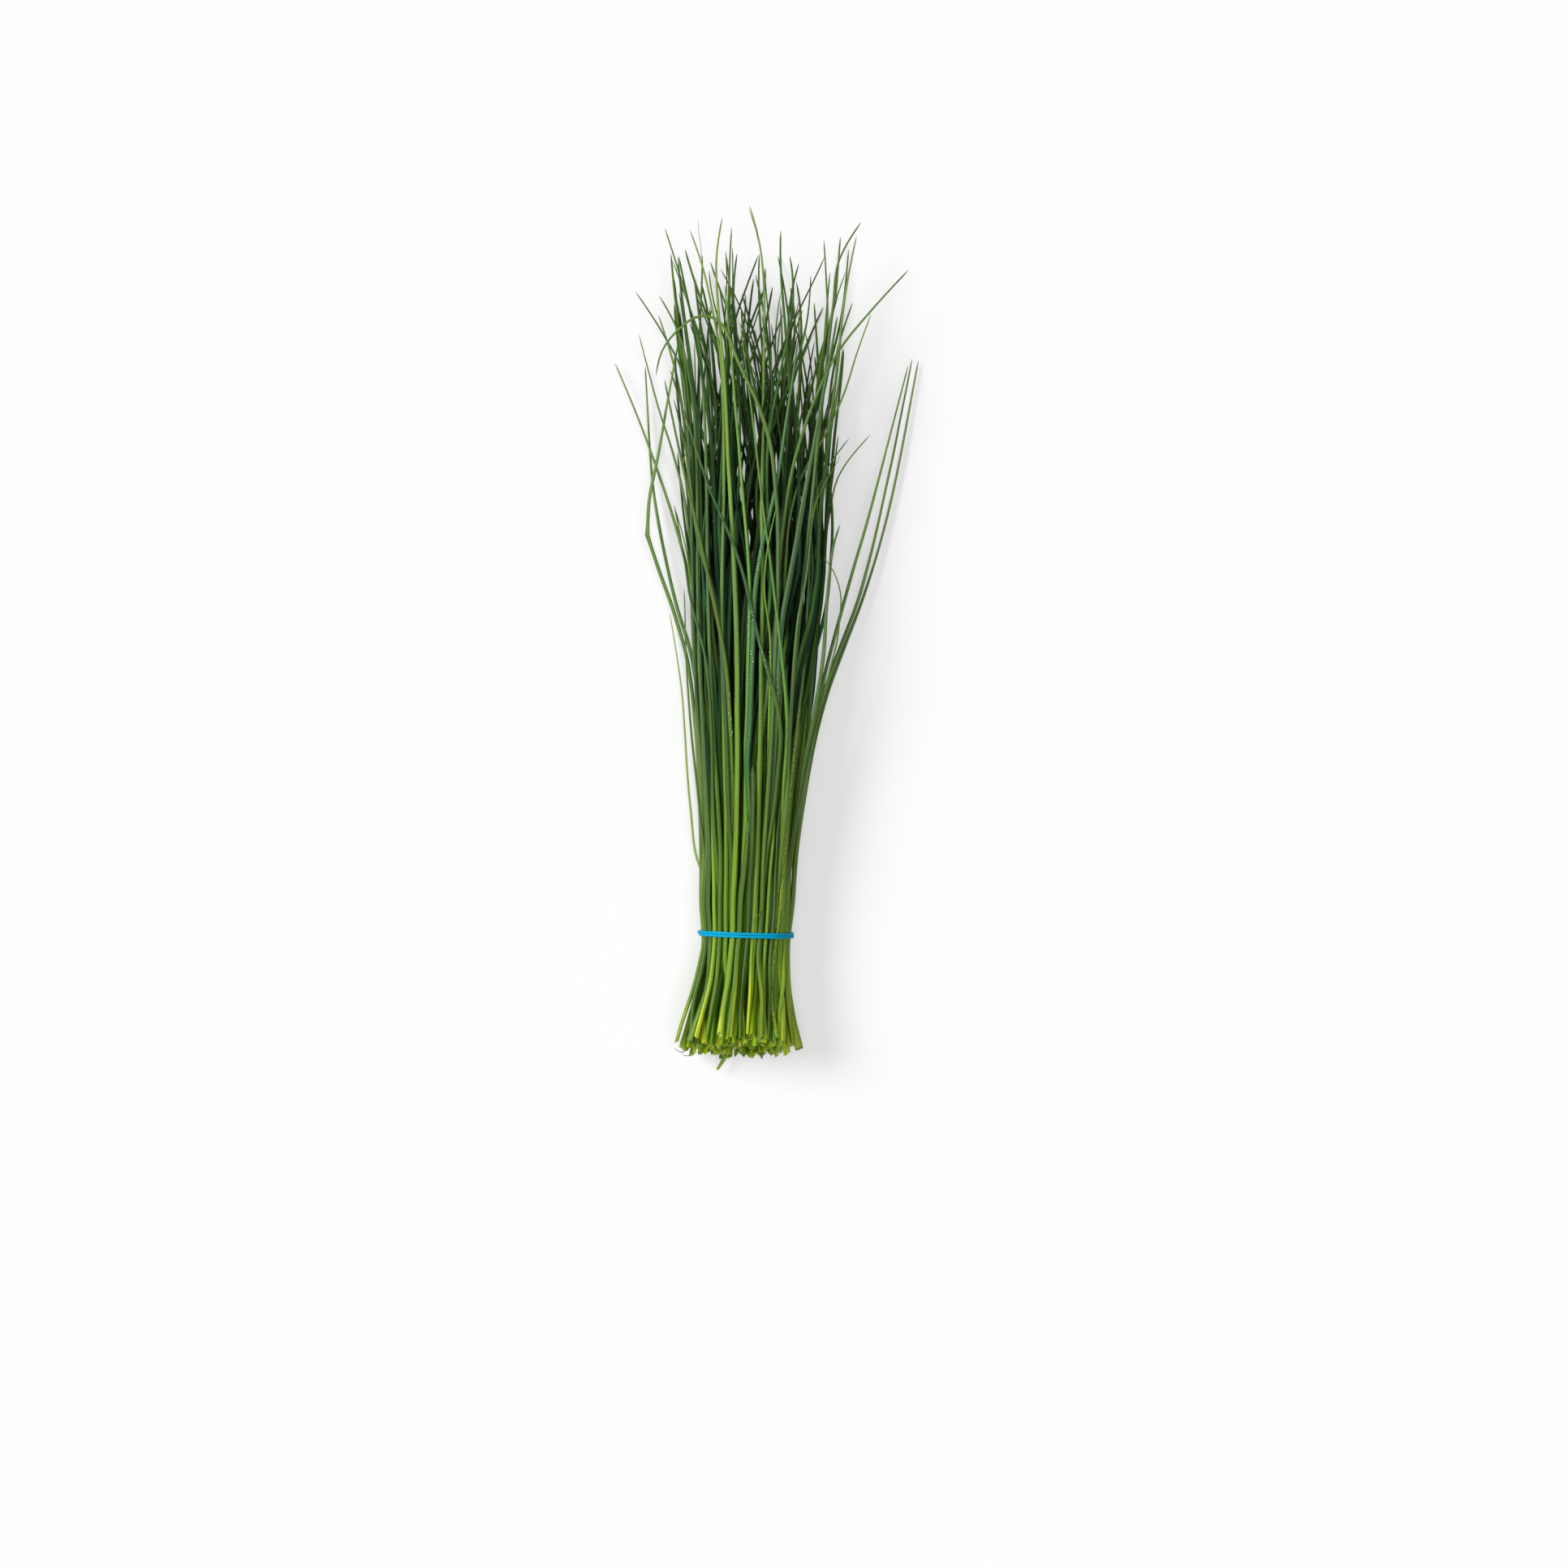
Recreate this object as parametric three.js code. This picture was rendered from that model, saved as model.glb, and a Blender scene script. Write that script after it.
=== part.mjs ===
// A bunch of fresh chives, cut across the bottom and held by one rubber band.
// The bunch lies on a flat surface: +Y runs from the cut ends towards the tips, +X is across the bunch and
// +Z is up. The origin is on that surface, in the middle of the underside of the rubber band. Every length is
// in millimetres.
//
// Each leaf is one tapered spindle bent along its own line of nodes. The lines are settled together: each
// starts where its leaf would like to lie, and they are then pushed apart, evened out and lifted off the
// surface until no two leaves share any space. Only the outer leaves are solids here, because they give the
// bunch its outline and what it rests on. The leaves in the middle are left to the visual model.
import * as THREE from "three";

// The bunch.
const BAND_HALF_WIDTH = 14.8; // from the middle of the bunch to the inside of the rubber band
const BAND_HALF_HEIGHT = 12.2;
const CUT_LOW = -42; // where the lowest leaves are cut
const CUT_SLANT = 9; // how much shorter the highest leaves are cut
const CUT_SCATTER = 1.2;
const TIP_SHORT = 165; // the shortest and the longest of the ordinary leaves, from the band
const TIP_LONG = 235;
const TIP_LOW_SHORTER = 14; // how much shorter the ordinary leaves at the bottom are
const CEILING = 27.2; // no leaf is higher, except the one that droops over the others

// The leaves.
const LEAF_RADIUS_THIN = 0.68;
const LEAF_RADIUS_THICK = 1.16;
const TIP_SHARE = 0.24; // of a leaf's radius is left at its tip
const TAPER = 2.6; // how late the leaf narrows
const CURL = 12; // how far a tip may curl away
const CURL_LENGTH = 60; // over this length
const LEAF_SIDES = 6;
const NODE_SPACING = 14; // between the nodes along a leaf, nearly
const OUTER_LEAVES = 38; // in the ring against the band
const SECOND_LEAVES = 21; // in the ring inside it

// How an ordinary leaf wanders once past the band, in shares of the bunch's half width and half height.
const OPENING = [10, 150]; // the bunch loosens between these two places
const DRIFT = { across: 0.7, up: 0.5 };
const SWAY = { across: [0.03, 0.15], up: [0.03, 0.12], wavelength: [100, 200] };
const SPREAD_AT_CUT = 0.12;
const REACH = 0.94; // how far out it may get

// The rubber band.
const BAND_WIDTH = 1.8;
const BAND_THICKNESS = 0.9;
const BAND_FLAT_HALF = 5.5; // half the length of the flat stretch that it rests on
const BAND_STEPS = 60; // round its curved stretch
// How far below its middle that stretch is, as a share of its half height.
const BAND_FLAT_LEVEL = Math.sqrt(1 - (BAND_FLAT_HALF / BAND_HALF_WIDTH) ** 2);
const BAND_MIDDLE_Z = (BAND_HALF_HEIGHT + BAND_THICKNESS) * BAND_FLAT_LEVEL;

// Settling.
const STATION = 3; // between two places along Y where leaves are kept apart
const GAP = 0.26; // kept between two leaves, and between a leaf and the band
const FLOOR_GAP = 0.04;
const ROUNDS = 300; // of evening out and pushing apart
const MOST_LAST_ROUNDS = 400; // of pushing apart only
const LARGEST_LACK = 0.05; // of the gap, when settling may stop
const HOMING = 0.03; // of the way home in each round
const STIFFNESS = 0.6; // of the way to an even line in each round
const ROUNDS_PER_SEARCH = 10; // for neighbours
const SEARCH_REACH = 1.8; // beyond touching

// What the bunch fills at a few places along it: its middle, half its width and half its height.
const OUTLINE = [
  { y: -48, x: -4.2, z: 13.6, wide: 24.0, high: 13.4 },
  { y: -24, x: -2.8, z: 13.2, wide: 19.0, high: 12.9 },
  { y: 0, x: 0, z: BAND_MIDDLE_Z, wide: BAND_HALF_WIDTH, high: BAND_HALF_HEIGHT },
  { y: 40, x: 1.0, z: 13.0, wide: 18.6, high: 12.6 },
  { y: 80, x: 2.4, z: 13.2, wide: 22.6, high: 12.9 },
  { y: 120, x: 4.0, z: 13.4, wide: 25.5, high: 13.1 },
  { y: 190, x: 4.2, z: 13.2, wide: 26.5, high: 12.8 },
  { y: 246, x: 4.6, z: 12.4, wide: 28.5, high: 11.8 },
];

// The leaves that stray from the bunch, each by its angle in the ring, seen from the cut ends with 0 degrees
// at +X and 90 degrees on top, and by the places that it then passes through, the last one at its tip. The
// leaf with a kink is folded there, and a tail hangs on past the highest Y.
const STRAYS = [
  { angle: 8, radius: 0.86, through: [[22.5, 70, 9], [32.8, 112, 8], [40.4, 138, 7], [54, 190, 4]] },
  { angle: -4, radius: 0.9, through: [[23.5, 72, 6.5], [38, 114, 5], [45.6, 144, 4], [55.4, 192.5, 2.6]] },
  { angle: -16, radius: 0.84, through: [[25, 74, 4], [40.3, 116, 3], [49, 148, 2.2], [57.6, 192, 1.5]] },
  {
    angle: 96,
    radius: 0.95,
    through: [[8, 90, 25.5], [14, 148, 25], [23.5, 179, 24], [32, 195, 22.5], [53.6, 220, 19]],
  },
  {
    angle: 52,
    radius: 0.9,
    through: [[16, 90, 22], [25.6, 181, 22], [28.9, 210, 21], [31.4, 226, 20], [38, 236, 18]],
  },
  { angle: 36, radius: 0.85, through: [[19, 90, 18], [30, 188, 17], [33, 214, 15], [36.6, 232, 14]] },
  {
    angle: 66,
    radius: 0.8,
    through: [[12, 90, 22], [15.4, 144, 22], [29.6, 172, 19.5], [36, 191, 17], [41.4, 206, 15]],
  },
  { angle: 80, radius: 0.85, through: [[5, 90, 25.5], [6, 180, 24], [5.8, 221, 20], [1.2, 241.5, 17]] },
  { angle: 128, radius: 0.85, through: [[-12, 90, 22], [-15, 189, 22], [-21.6, 216, 20], [-27.2, 234, 18]] },
  { angle: 118, radius: 0.85, through: [[-8, 90, 24], [-8, 185, 24], [-13.6, 217, 22], [-18.8, 233, 20]] },
  { angle: 108, radius: 1.05, through: [[-3, 90, 25.5], [-7, 175, 25], [-10, 221, 24], [-8.2, 237, 22]] },
  { angle: 150, radius: 0.8, through: [[-17, 90, 16], [-21, 184, 16], [-29.4, 202, 14], [-37, 213.6, 13]] },
  { angle: 140, radius: 0.8, through: [[-15, 90, 19], [-17, 170, 19], [-22.6, 200, 17], [-29, 212, 16]] },
  { angle: 164, radius: 0.85, through: [[-18, 100, 12], [-20.5, 143, 12], [-31.2, 181, 9], [-36, 200, 7.5]] },
  {
    angle: 174,
    radius: 0.8,
    through: [[-17.6, 92, 9], [-20.2, 120, 8], [-25.4, 140, 7], [-34.2, 166, 5], [-44.4, 191, 2.5]],
  },
  { angle: 186, radius: 0.85, through: [[-18, 86, 6], [-25.6, 116, 4], [-31.6, 148, 3], [-34.2, 190, 2]] },
  {
    angle: 198,
    radius: 0.88,
    kink: 133,
    through: [[-18.4, 84, 3], [-26, 113, 5], [-33.2, 133, 8], [-28.6, 165, 8], [-21.6, 204, 8]],
  },
  { angle: 216, radius: 0.55, through: [[-15.8, 22, 4], [-19.4, 48, 3], [-22, 82, 2.2], [-26, 107.5, 1.6]] },
  { angle: 22, radius: 0.8, through: [[22, 85, 13], [26.6, 132, 12], [31, 153, 12], [41.4, 166.4, 10]] },
  { angle: 44, radius: 0.8, through: [[19, 90, 20], [22.4, 142, 20], [26.6, 154, 19.5], [34, 164.4, 18]] },
  { angle: 160, radius: 0.75, through: [[-16, 90, 14], [-19.8, 126, 14], [-24, 142, 13]] },
  { angle: 87, radius: 1.05, tipShare: 0.85, through: [[2, 30, 25.4], [1.4, 56, 25.6]] },
  {
    angle: 74,
    radius: 0.95,
    through: [[9, 90, 26], [8, 160, 28.4], [-8.4, 201, 30.4]],
    tail: [[-15.4, 203.2, 31], [-22.8, 198.4, 30.4], [-27.8, 192, 29.4], [-29.8, 184, 28]],
  },
];

const { clamp, degToRad, lerp, smoothstep } = THREE.MathUtils;

// The same sequence of numbers from 0 to 1 on every run.
function makeRandom(seed) {
  let state = seed;
  return () => {
    state = (state + 0x6d2b79f5) | 0;
    let mixed = Math.imul(state ^ (state >>> 15), 1 | state);
    mixed = (mixed + Math.imul(mixed ^ (mixed >>> 7), 61 | mixed)) ^ mixed;
    return ((mixed ^ (mixed >>> 14)) >>> 0) / 4294967296;
  };
}

const random = makeRandom(20);
const between = (low, high) => lerp(low, high, random());
const scatter = () => (random() + random() + random() - 1.5) / 1.5; // from -1 to 1, most often near 0

// A smooth curve through points of a plane, as a function of the points' first coordinate.
function curveThrough(keys, values) {
  const last = keys.length - 1;
  const slopes = values.map((_, i) => {
    const before = Math.max(i - 1, 0);
    const after = Math.min(i + 1, last);
    return (values[after] - values[before]) / (keys[after] - keys[before]);
  });
  return (key) => {
    let i = 0;
    while (i < last - 1 && key > keys[i + 1]) i += 1;
    const width = keys[i + 1] - keys[i];
    const t = clamp((key - keys[i]) / width, 0, 1);
    const fromStart = t * t * (3 - 2 * t);
    return (
      lerp(values[i], values[i + 1], fromStart) +
      width * t * (1 - t) * ((1 - t) * slopes[i] - t * slopes[i + 1])
    );
  };
}

const outlineCurve = (part) => curveThrough(OUTLINE.map((o) => o.y), OUTLINE.map((o) => o[part]));
const outline = {
  x: outlineCurve("x"),
  z: outlineCurve("z"),
  wide: outlineCurve("wide"),
  high: outlineCurve("high"),
};

// The point of the bunch's cross-section at y, where u and v run from -1 to 1 across it and up it.
const insideOutline = (u, y, v) => [
  outline.x(y) + outline.wide(y) * u,
  outline.z(y) + outline.high(y) * v,
];

// Where an ordinary leaf would like to lie: its own place in the bunch, which drifts and sways once past the
// band and spreads a little at the cut end. Near its tip it curls away, more often outwards.
function ordinaryHome({ u, v, tipY }) {
  const drift = { across: DRIFT.across * scatter(), up: DRIFT.up * scatter() };
  const sway = { across: between(...SWAY.across), up: between(...SWAY.up) };
  const wavelength = between(...SWAY.wavelength);
  const start = between(0, 2 * Math.PI);
  const spread = { across: SPREAD_AT_CUT * scatter(), up: SPREAD_AT_CUT * scatter() };
  const curl = { across: CURL * (scatter() + 0.5 * u), up: 0.4 * CURL * scatter() };
  return (y) => {
    const opened = smoothstep(y, ...OPENING);
    const cut = smoothstep(-y, 0, -CUT_LOW);
    const phase = start + (2 * Math.PI * y) / wavelength;
    const across = u + opened * (drift.across + sway.across * Math.sin(phase)) + cut * spread.across;
    const up = v + opened * (drift.up + sway.up * Math.cos(phase)) + cut * spread.up;
    const out = Math.max(1, Math.hypot(across, up) / REACH);
    const [x, z] = insideOutline(across / out, y, up / out);
    const curled = Math.max(0, 1 - (tipY - y) / CURL_LENGTH) ** 2;
    return [x + curled * curl.across, z + curled * curl.up];
  };
}

// Where a stray leaf would like to lie: its place in the ring until a little past the band, then its own
// places.
function strayHome({ u, v, through }) {
  const ringPlaces = [CUT_LOW - 3, CUT_LOW / 2, 0, 12].map((y) => [y, ...insideOutline(u, y, v)]);
  const places = [...ringPlaces, ...through.map(([x, y, z]) => [y, x, z])];
  const keys = places.map((p) => p[0]);
  const x = curveThrough(keys, places.map((p) => p[1]));
  const z = curveThrough(keys, places.map((p) => p[2]));
  return (y) => [x(y), z(y)];
}

// A leaf's levels along Y: evenly spaced from its cut end to the band, to its kink if it has one, and to its
// tip.
function leafLevels({ cutY, tipY, kink }) {
  const stops = [cutY, 0, ...(kink ? [kink] : []), tipY];
  const levels = [cutY];
  for (let i = 1; i < stops.length; i += 1) {
    const count = Math.ceil((stops[i] - stops[i - 1]) / NODE_SPACING);
    for (let j = 1; j <= count; j += 1) levels.push(lerp(stops[i - 1], stops[i], j / count));
  }
  return levels;
}

// A leaf with its nodes at home. Share is how far out in the bunch it starts, from 0 to 1.
function makeLeaf(name, angle, share, stray = {}) {
  const leaf = { name, ...stray, u: share * Math.cos(angle), v: share * Math.sin(angle) };
  leaf.radius ??= between(LEAF_RADIUS_THIN, LEAF_RADIUS_THICK);
  leaf.tipShare ??= TIP_SHARE;
  leaf.cutY = CUT_LOW + (CUT_SLANT * (leaf.v + 1)) / 2 + CUT_SCATTER * scatter();
  const ordinaryTip =
    lerp(TIP_SHORT, TIP_LONG, Math.sqrt(random())) - TIP_LOW_SHORTER * Math.max(0, -leaf.v);
  leaf.tipY = leaf.through?.at(-1)[1] ?? ordinaryTip;
  const home = leaf.through ? strayHome(leaf) : ordinaryHome(leaf);
  const places = leafLevels(leaf).map((y) => {
    const [x, z] = home(y);
    return new THREE.Vector3(x, y, z);
  });
  places.push(...(leaf.tail ?? []).map((p) => new THREE.Vector3(...p)));
  // A leaf keeps its thickness for most of its length and narrows towards its tip.
  leaf.nodes = places.map((place, i) => ({
    home: place,
    at: place.clone(),
    radius: leaf.radius * (1 - (1 - leaf.tipShare) * (i / (places.length - 1)) ** TAPER),
  }));
  return leaf;
}

// Angles at equal distances along an ellipse.
function ringAngles(count, wide, high) {
  const ellipse = new THREE.EllipseCurve(0, 0, wide, high);
  ellipse.arcLengthDivisions = 2000;
  return Array.from({ length: count }, (_, i) => {
    const point = ellipse.getPointAt((i + 0.5) / count);
    return Math.atan2(point.y / high, point.x / wide);
  });
}

const ringShare = (layers) =>
  1 - ((layers + 0.5) * (LEAF_RADIUS_THIN + LEAF_RADIUS_THICK) + (layers + 1) * GAP) / BAND_HALF_HEIGHT;
const numbered = (name, number) => `${name}_${String(number).padStart(2, "0")}`;

// The ring against the band, where each stray takes the free place nearest to its angle.
function makeOuterRing() {
  const share = ringShare(0);
  const places = ringAngles(OUTER_LEAVES, BAND_HALF_WIDTH, BAND_HALF_HEIGHT).map((angle) => ({ angle }));
  const away = (place, angle) => 1 - Math.cos(place.angle - angle);
  for (const stray of STRAYS) {
    const angle = degToRad(stray.angle);
    const free = places.filter((place) => !place.stray);
    free.sort((a, b) => away(a, angle) - away(b, angle));
    free[0].stray = stray;
  }
  return places.map(({ angle, stray }, i) =>
    stray
      ? makeLeaf(numbered("stray_leaf", STRAYS.indexOf(stray) + 1), angle, share, stray)
      : makeLeaf(numbered("outer_leaf", i + 1), angle, share),
  );
}

function makeSecondRing() {
  return ringAngles(SECOND_LEAVES, BAND_HALF_WIDTH, BAND_HALF_HEIGHT).map((angle, i) =>
    makeLeaf(numbered("second_leaf", i + 1), angle, ringShare(1)),
  );
}

// Each node moves towards home, and towards being as far from home as the nodes on both sides of it are.
function evenOut(leaf) {
  const offsets = leaf.nodes.map(({ at, home }) => at.clone().sub(home));
  leaf.nodes.forEach(({ at, home }, i) => {
    const before = offsets[Math.max(i - 1, 0)];
    const after = offsets[Math.min(i + 1, offsets.length - 1)];
    const middle = before.clone().add(after).multiplyScalar(0.5);
    at.copy(offsets[i]).lerp(middle, STIFFNESS).multiplyScalar(1 - HOMING).add(home);
  });
}

// Where a leaf passes a level: between which two nodes, and how far from the first to the second.
function crossing(leaf, y) {
  if (y < leaf.cutY || y > leaf.tipY) return null;
  const above = leaf.nodes.findIndex((node, i) => i > 0 && node.at.y >= y);
  const [from, to] = [leaf.nodes[above - 1], leaf.nodes[above]];
  const part = (y - from.at.y) / (to.at.y - from.at.y);
  return { leaf, from, to, part };
}

const crossingAt = ({ from, to, part }) => from.at.clone().lerp(to.at, part);
const crossingRadius = ({ from, to, part }) => lerp(from.radius, to.radius, part);
const lean = ({ from, to }) => from.at.distanceTo(to.at) / Math.abs(to.at.y - from.at.y);

// Moves both nodes of a crossing so that the leaf moves by the given step there.
function moveCrossing({ from, to, part }, step, amount) {
  const share = amount / ((1 - part) ** 2 + part ** 2);
  from.at.addScaledVector(step, (1 - part) * share);
  to.at.addScaledVector(step, part * share);
}

// The pairs of leaves that are near each other, at each station.
function findNeighbours(leaves) {
  const near = [];
  for (let y = CUT_LOW; y < TIP_LONG + 2 * STATION; y += STATION) {
    const here = leaves.map((leaf) => crossing(leaf, y)).filter(Boolean);
    const points = here.map(crossingAt);
    here.forEach((a, i) => {
      here.slice(i + 1).forEach((b, j) => {
        const touching = crossingRadius(a) + crossingRadius(b);
        if (points[i].distanceTo(points[i + 1 + j]) < touching + SEARCH_REACH) near.push([a, b]);
      });
    });
  }
  return near;
}

// Pushes two leaves apart where they are too near, and returns how much of the gap was lacking. A leaf that
// leans is cut by the level in an ellipse, so it needs more room there.
function pushApart([a, b]) {
  const step = crossingAt(b).sub(crossingAt(a)).setY(0);
  const apart = step.length();
  const room = (crossingRadius(a) + crossingRadius(b)) * Math.max(lean(a), lean(b)) + GAP;
  const lack = room - apart;
  if (lack <= 0) return 0;
  step.normalize();
  moveCrossing(a, step, -lack / 2);
  moveCrossing(b, step, lack / 2);
  return lack;
}

// Keeps a leaf off the surface, under the ceiling, and inside the rubber band.
function keepInside(leaf) {
  for (const { at, radius } of leaf.nodes) {
    at.z = Math.max(at.z, radius + FLOOR_GAP);
    if (!leaf.tail) at.z = Math.min(at.z, CEILING - radius);
  }
  const { at, radius } = leaf.nodes.find((node) => node.at.y === 0);
  const room = radius + 1.4 * GAP;
  const x = at.x / (BAND_HALF_WIDTH - room);
  const z = (at.z - BAND_MIDDLE_Z) / (BAND_HALF_HEIGHT - room);
  const out = Math.max(1, Math.hypot(x, z));
  at.x /= out;
  at.z = BAND_MIDDLE_Z + (at.z - BAND_MIDDLE_Z) / out;
  at.z = Math.max(at.z, BAND_MIDDLE_Z - BAND_HALF_HEIGHT * BAND_FLAT_LEVEL + room);
}

function settle(leaves) {
  let near = [];
  for (let round = 0; round < ROUNDS + MOST_LAST_ROUNDS; round += 1) {
    if (round % ROUNDS_PER_SEARCH === 0) near = findNeighbours(leaves);
    if (round < ROUNDS) leaves.forEach(evenOut);
    const worst = near.reduce((most, pair) => Math.max(most, pushApart(pair)), 0);
    leaves.forEach(keepInside);
    if (round > ROUNDS && worst < LARGEST_LACK) return;
  }
}

// A six-sided spindle bent along the leaf's nodes: a lathe with its rings at heights 0, 1, 2 and so on, whose
// rings are then carried to the nodes and turned square to the leaf.
function leafGeometry(leaf) {
  const last = leaf.nodes.length - 1;
  const profile = leaf.nodes.map(({ radius }, i) => new THREE.Vector2(radius, i));
  profile.unshift(new THREE.Vector2(0, 0));
  profile.push(new THREE.Vector2(0, last));
  const geometry = new THREE.LatheGeometry(profile, LEAF_SIDES);
  const frames = leaf.nodes.map(({ at }, i) => {
    const before = leaf.nodes[Math.max(i - 1, 0)].at;
    const after = leaf.nodes[Math.min(i + 1, last)].at;
    const along = after.clone().sub(before).normalize();
    const across = new THREE.Vector3(0, 0, 1).cross(along).normalize();
    const up = along.clone().cross(across);
    return new THREE.Matrix4().makeBasis(across, along, up.negate()).setPosition(at);
  });
  const position = geometry.getAttribute("position");
  for (let i = 0; i < position.count; i += 1) {
    const ring = Math.round(position.getY(i));
    const point = new THREE.Vector3(position.getX(i), 0, position.getZ(i)).applyMatrix4(frames[ring]);
    position.setXYZ(i, point.x, point.y, point.z);
  }
  geometry.computeVertexNormals();
  return geometry;
}

function leafMesh(leaf) {
  const fresh = new THREE.Color(0x5f9a3a);
  const dark = new THREE.Color(0x2f6b45);
  const color = fresh.lerp(dark, (leaf.u + 1) / 2);
  const mesh = new THREE.Mesh(
    leafGeometry(leaf),
    new THREE.MeshStandardMaterial({ color, roughness: 0.45, metalness: 0 }),
  );
  mesh.name = leaf.name;
  return mesh;
}

// A closed line round the bunch, the given distance out from the inside of the band: an ellipse with a flat
// stretch below.
function bandOutline(line, out) {
  const corner = Math.asin(BAND_FLAT_LEVEL);
  const [wide, high] = [BAND_HALF_WIDTH + out, BAND_HALF_HEIGHT + out];
  return line.absellipse(0, 0, wide, high, -corner, Math.PI + corner, false);
}

function rubberBandMesh() {
  const shape = bandOutline(new THREE.Shape(), BAND_THICKNESS);
  shape.holes.push(bandOutline(new THREE.Path(), 0));
  const geometry = new THREE.ExtrudeGeometry(shape, {
    depth: BAND_WIDTH,
    bevelEnabled: false,
    curveSegments: BAND_STEPS / 2, // an ellipse takes two steps for each
  });
  const mesh = new THREE.Mesh(
    geometry,
    new THREE.MeshStandardMaterial({ color: 0x1494cc, roughness: 0.4, metalness: 0 }),
  );
  mesh.name = "rubber_band";
  mesh.rotation.x = Math.PI / 2;
  mesh.position.set(0, BAND_WIDTH / 2, BAND_MIDDLE_Z);
  return mesh;
}

const leaves = [...makeOuterRing(), ...makeSecondRing()];
settle(leaves);
const bunch = new THREE.Group();
bunch.add(...leaves.map(leafMesh), rubberBandMesh());

export default bunch;
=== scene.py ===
"""A fresh chive bunch: waxy hollow leaves, cut at the foot and held by a thin blue rubber band.

The bunch lies down with its cut ends at -Y and its tips at +Y. The CAD leaves set its outline. Each is
replaced by a finer, hollow leaf along the same line, and the heart of the bunch is filled with more leaves,
which settle between them. Lengths are in millimetres until a mesh is made, and in metres from then on.
"""

import sys
import logging
import math
from dataclasses import dataclass, field, replace
from enum import Enum

import bpy
import numpy as np
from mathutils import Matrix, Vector


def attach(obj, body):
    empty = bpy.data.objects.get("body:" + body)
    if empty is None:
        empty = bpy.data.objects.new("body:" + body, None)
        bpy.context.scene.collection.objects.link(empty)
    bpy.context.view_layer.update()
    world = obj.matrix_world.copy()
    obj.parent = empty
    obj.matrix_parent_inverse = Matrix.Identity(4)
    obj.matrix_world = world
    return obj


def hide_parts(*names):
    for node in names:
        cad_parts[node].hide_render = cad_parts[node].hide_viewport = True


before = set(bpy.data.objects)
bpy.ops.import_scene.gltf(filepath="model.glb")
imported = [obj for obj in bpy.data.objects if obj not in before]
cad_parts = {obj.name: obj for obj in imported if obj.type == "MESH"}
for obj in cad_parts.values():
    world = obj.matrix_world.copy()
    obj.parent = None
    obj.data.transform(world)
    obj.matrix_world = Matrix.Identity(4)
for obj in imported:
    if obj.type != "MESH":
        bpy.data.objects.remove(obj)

LOG = logging.getLogger("chive_bunch")
MM = 0.001  # a millimetre in the scene's metres
TURN = 2 * math.pi
SEED = 7
FLAT_MAP = "OFBake"  # each piece's own flat map

Array = np.ndarray
Rng = np.random.Generator
Material = bpy.types.Material
Piece = bpy.types.Object
Socket = bpy.types.NodeSocket
Color = tuple[float, float, float]
Pair = tuple[float, float]
Place = tuple[float, float, float]  # across, along and up
Course = tuple[float, tuple[Place, ...]]  # a leaf's radius at its foot, and the places that it goes through


def srgb(red: int, green: int, blue: int) -> Color:
    """Turns a colour written as 0 to 255 into the linear values that a shader takes."""
    parts = (red / 255, green / 255, blue / 255)
    return tuple(p / 12.92 if p <= 0.04045 else ((p + 0.055) / 1.055) ** 2.4 for p in parts)


def smooth_step(value: Array, low: float, high: float) -> Array:
    """Rises from 0 at low to 1 at high as 3 t squared less 2 t cubed, where t is the way between."""
    t = np.clip((value - low) / (high - low), 0, 1)
    return t * t * (3 - 2 * t)


def hump(value: Array, middle: float, width: float) -> Array:
    """A bell curve: e to the power of minus the squared distance from the middle, in widths."""
    return np.exp(-(((value - middle) / width) ** 2))


def wrapped(angle: Array) -> Array:
    """Brings angles to within half a turn of zero."""
    return (angle + math.pi) % TURN - math.pi


def unit(vectors: Array) -> Array:
    """Gives each row a length of 1."""
    return vectors / np.linalg.norm(vectors, axis=1, keepdims=True)


def spans_of(points: Array) -> Array:
    """Gives the distance from each point to the next."""
    return np.linalg.norm(np.diff(points, axis=0), axis=1)


def running(amounts: Array) -> Array:
    """Adds amounts up one by one, from 0."""
    return np.concatenate([[0], np.cumsum(amounts)])


# ---- The lines that leaves follow ----


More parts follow.
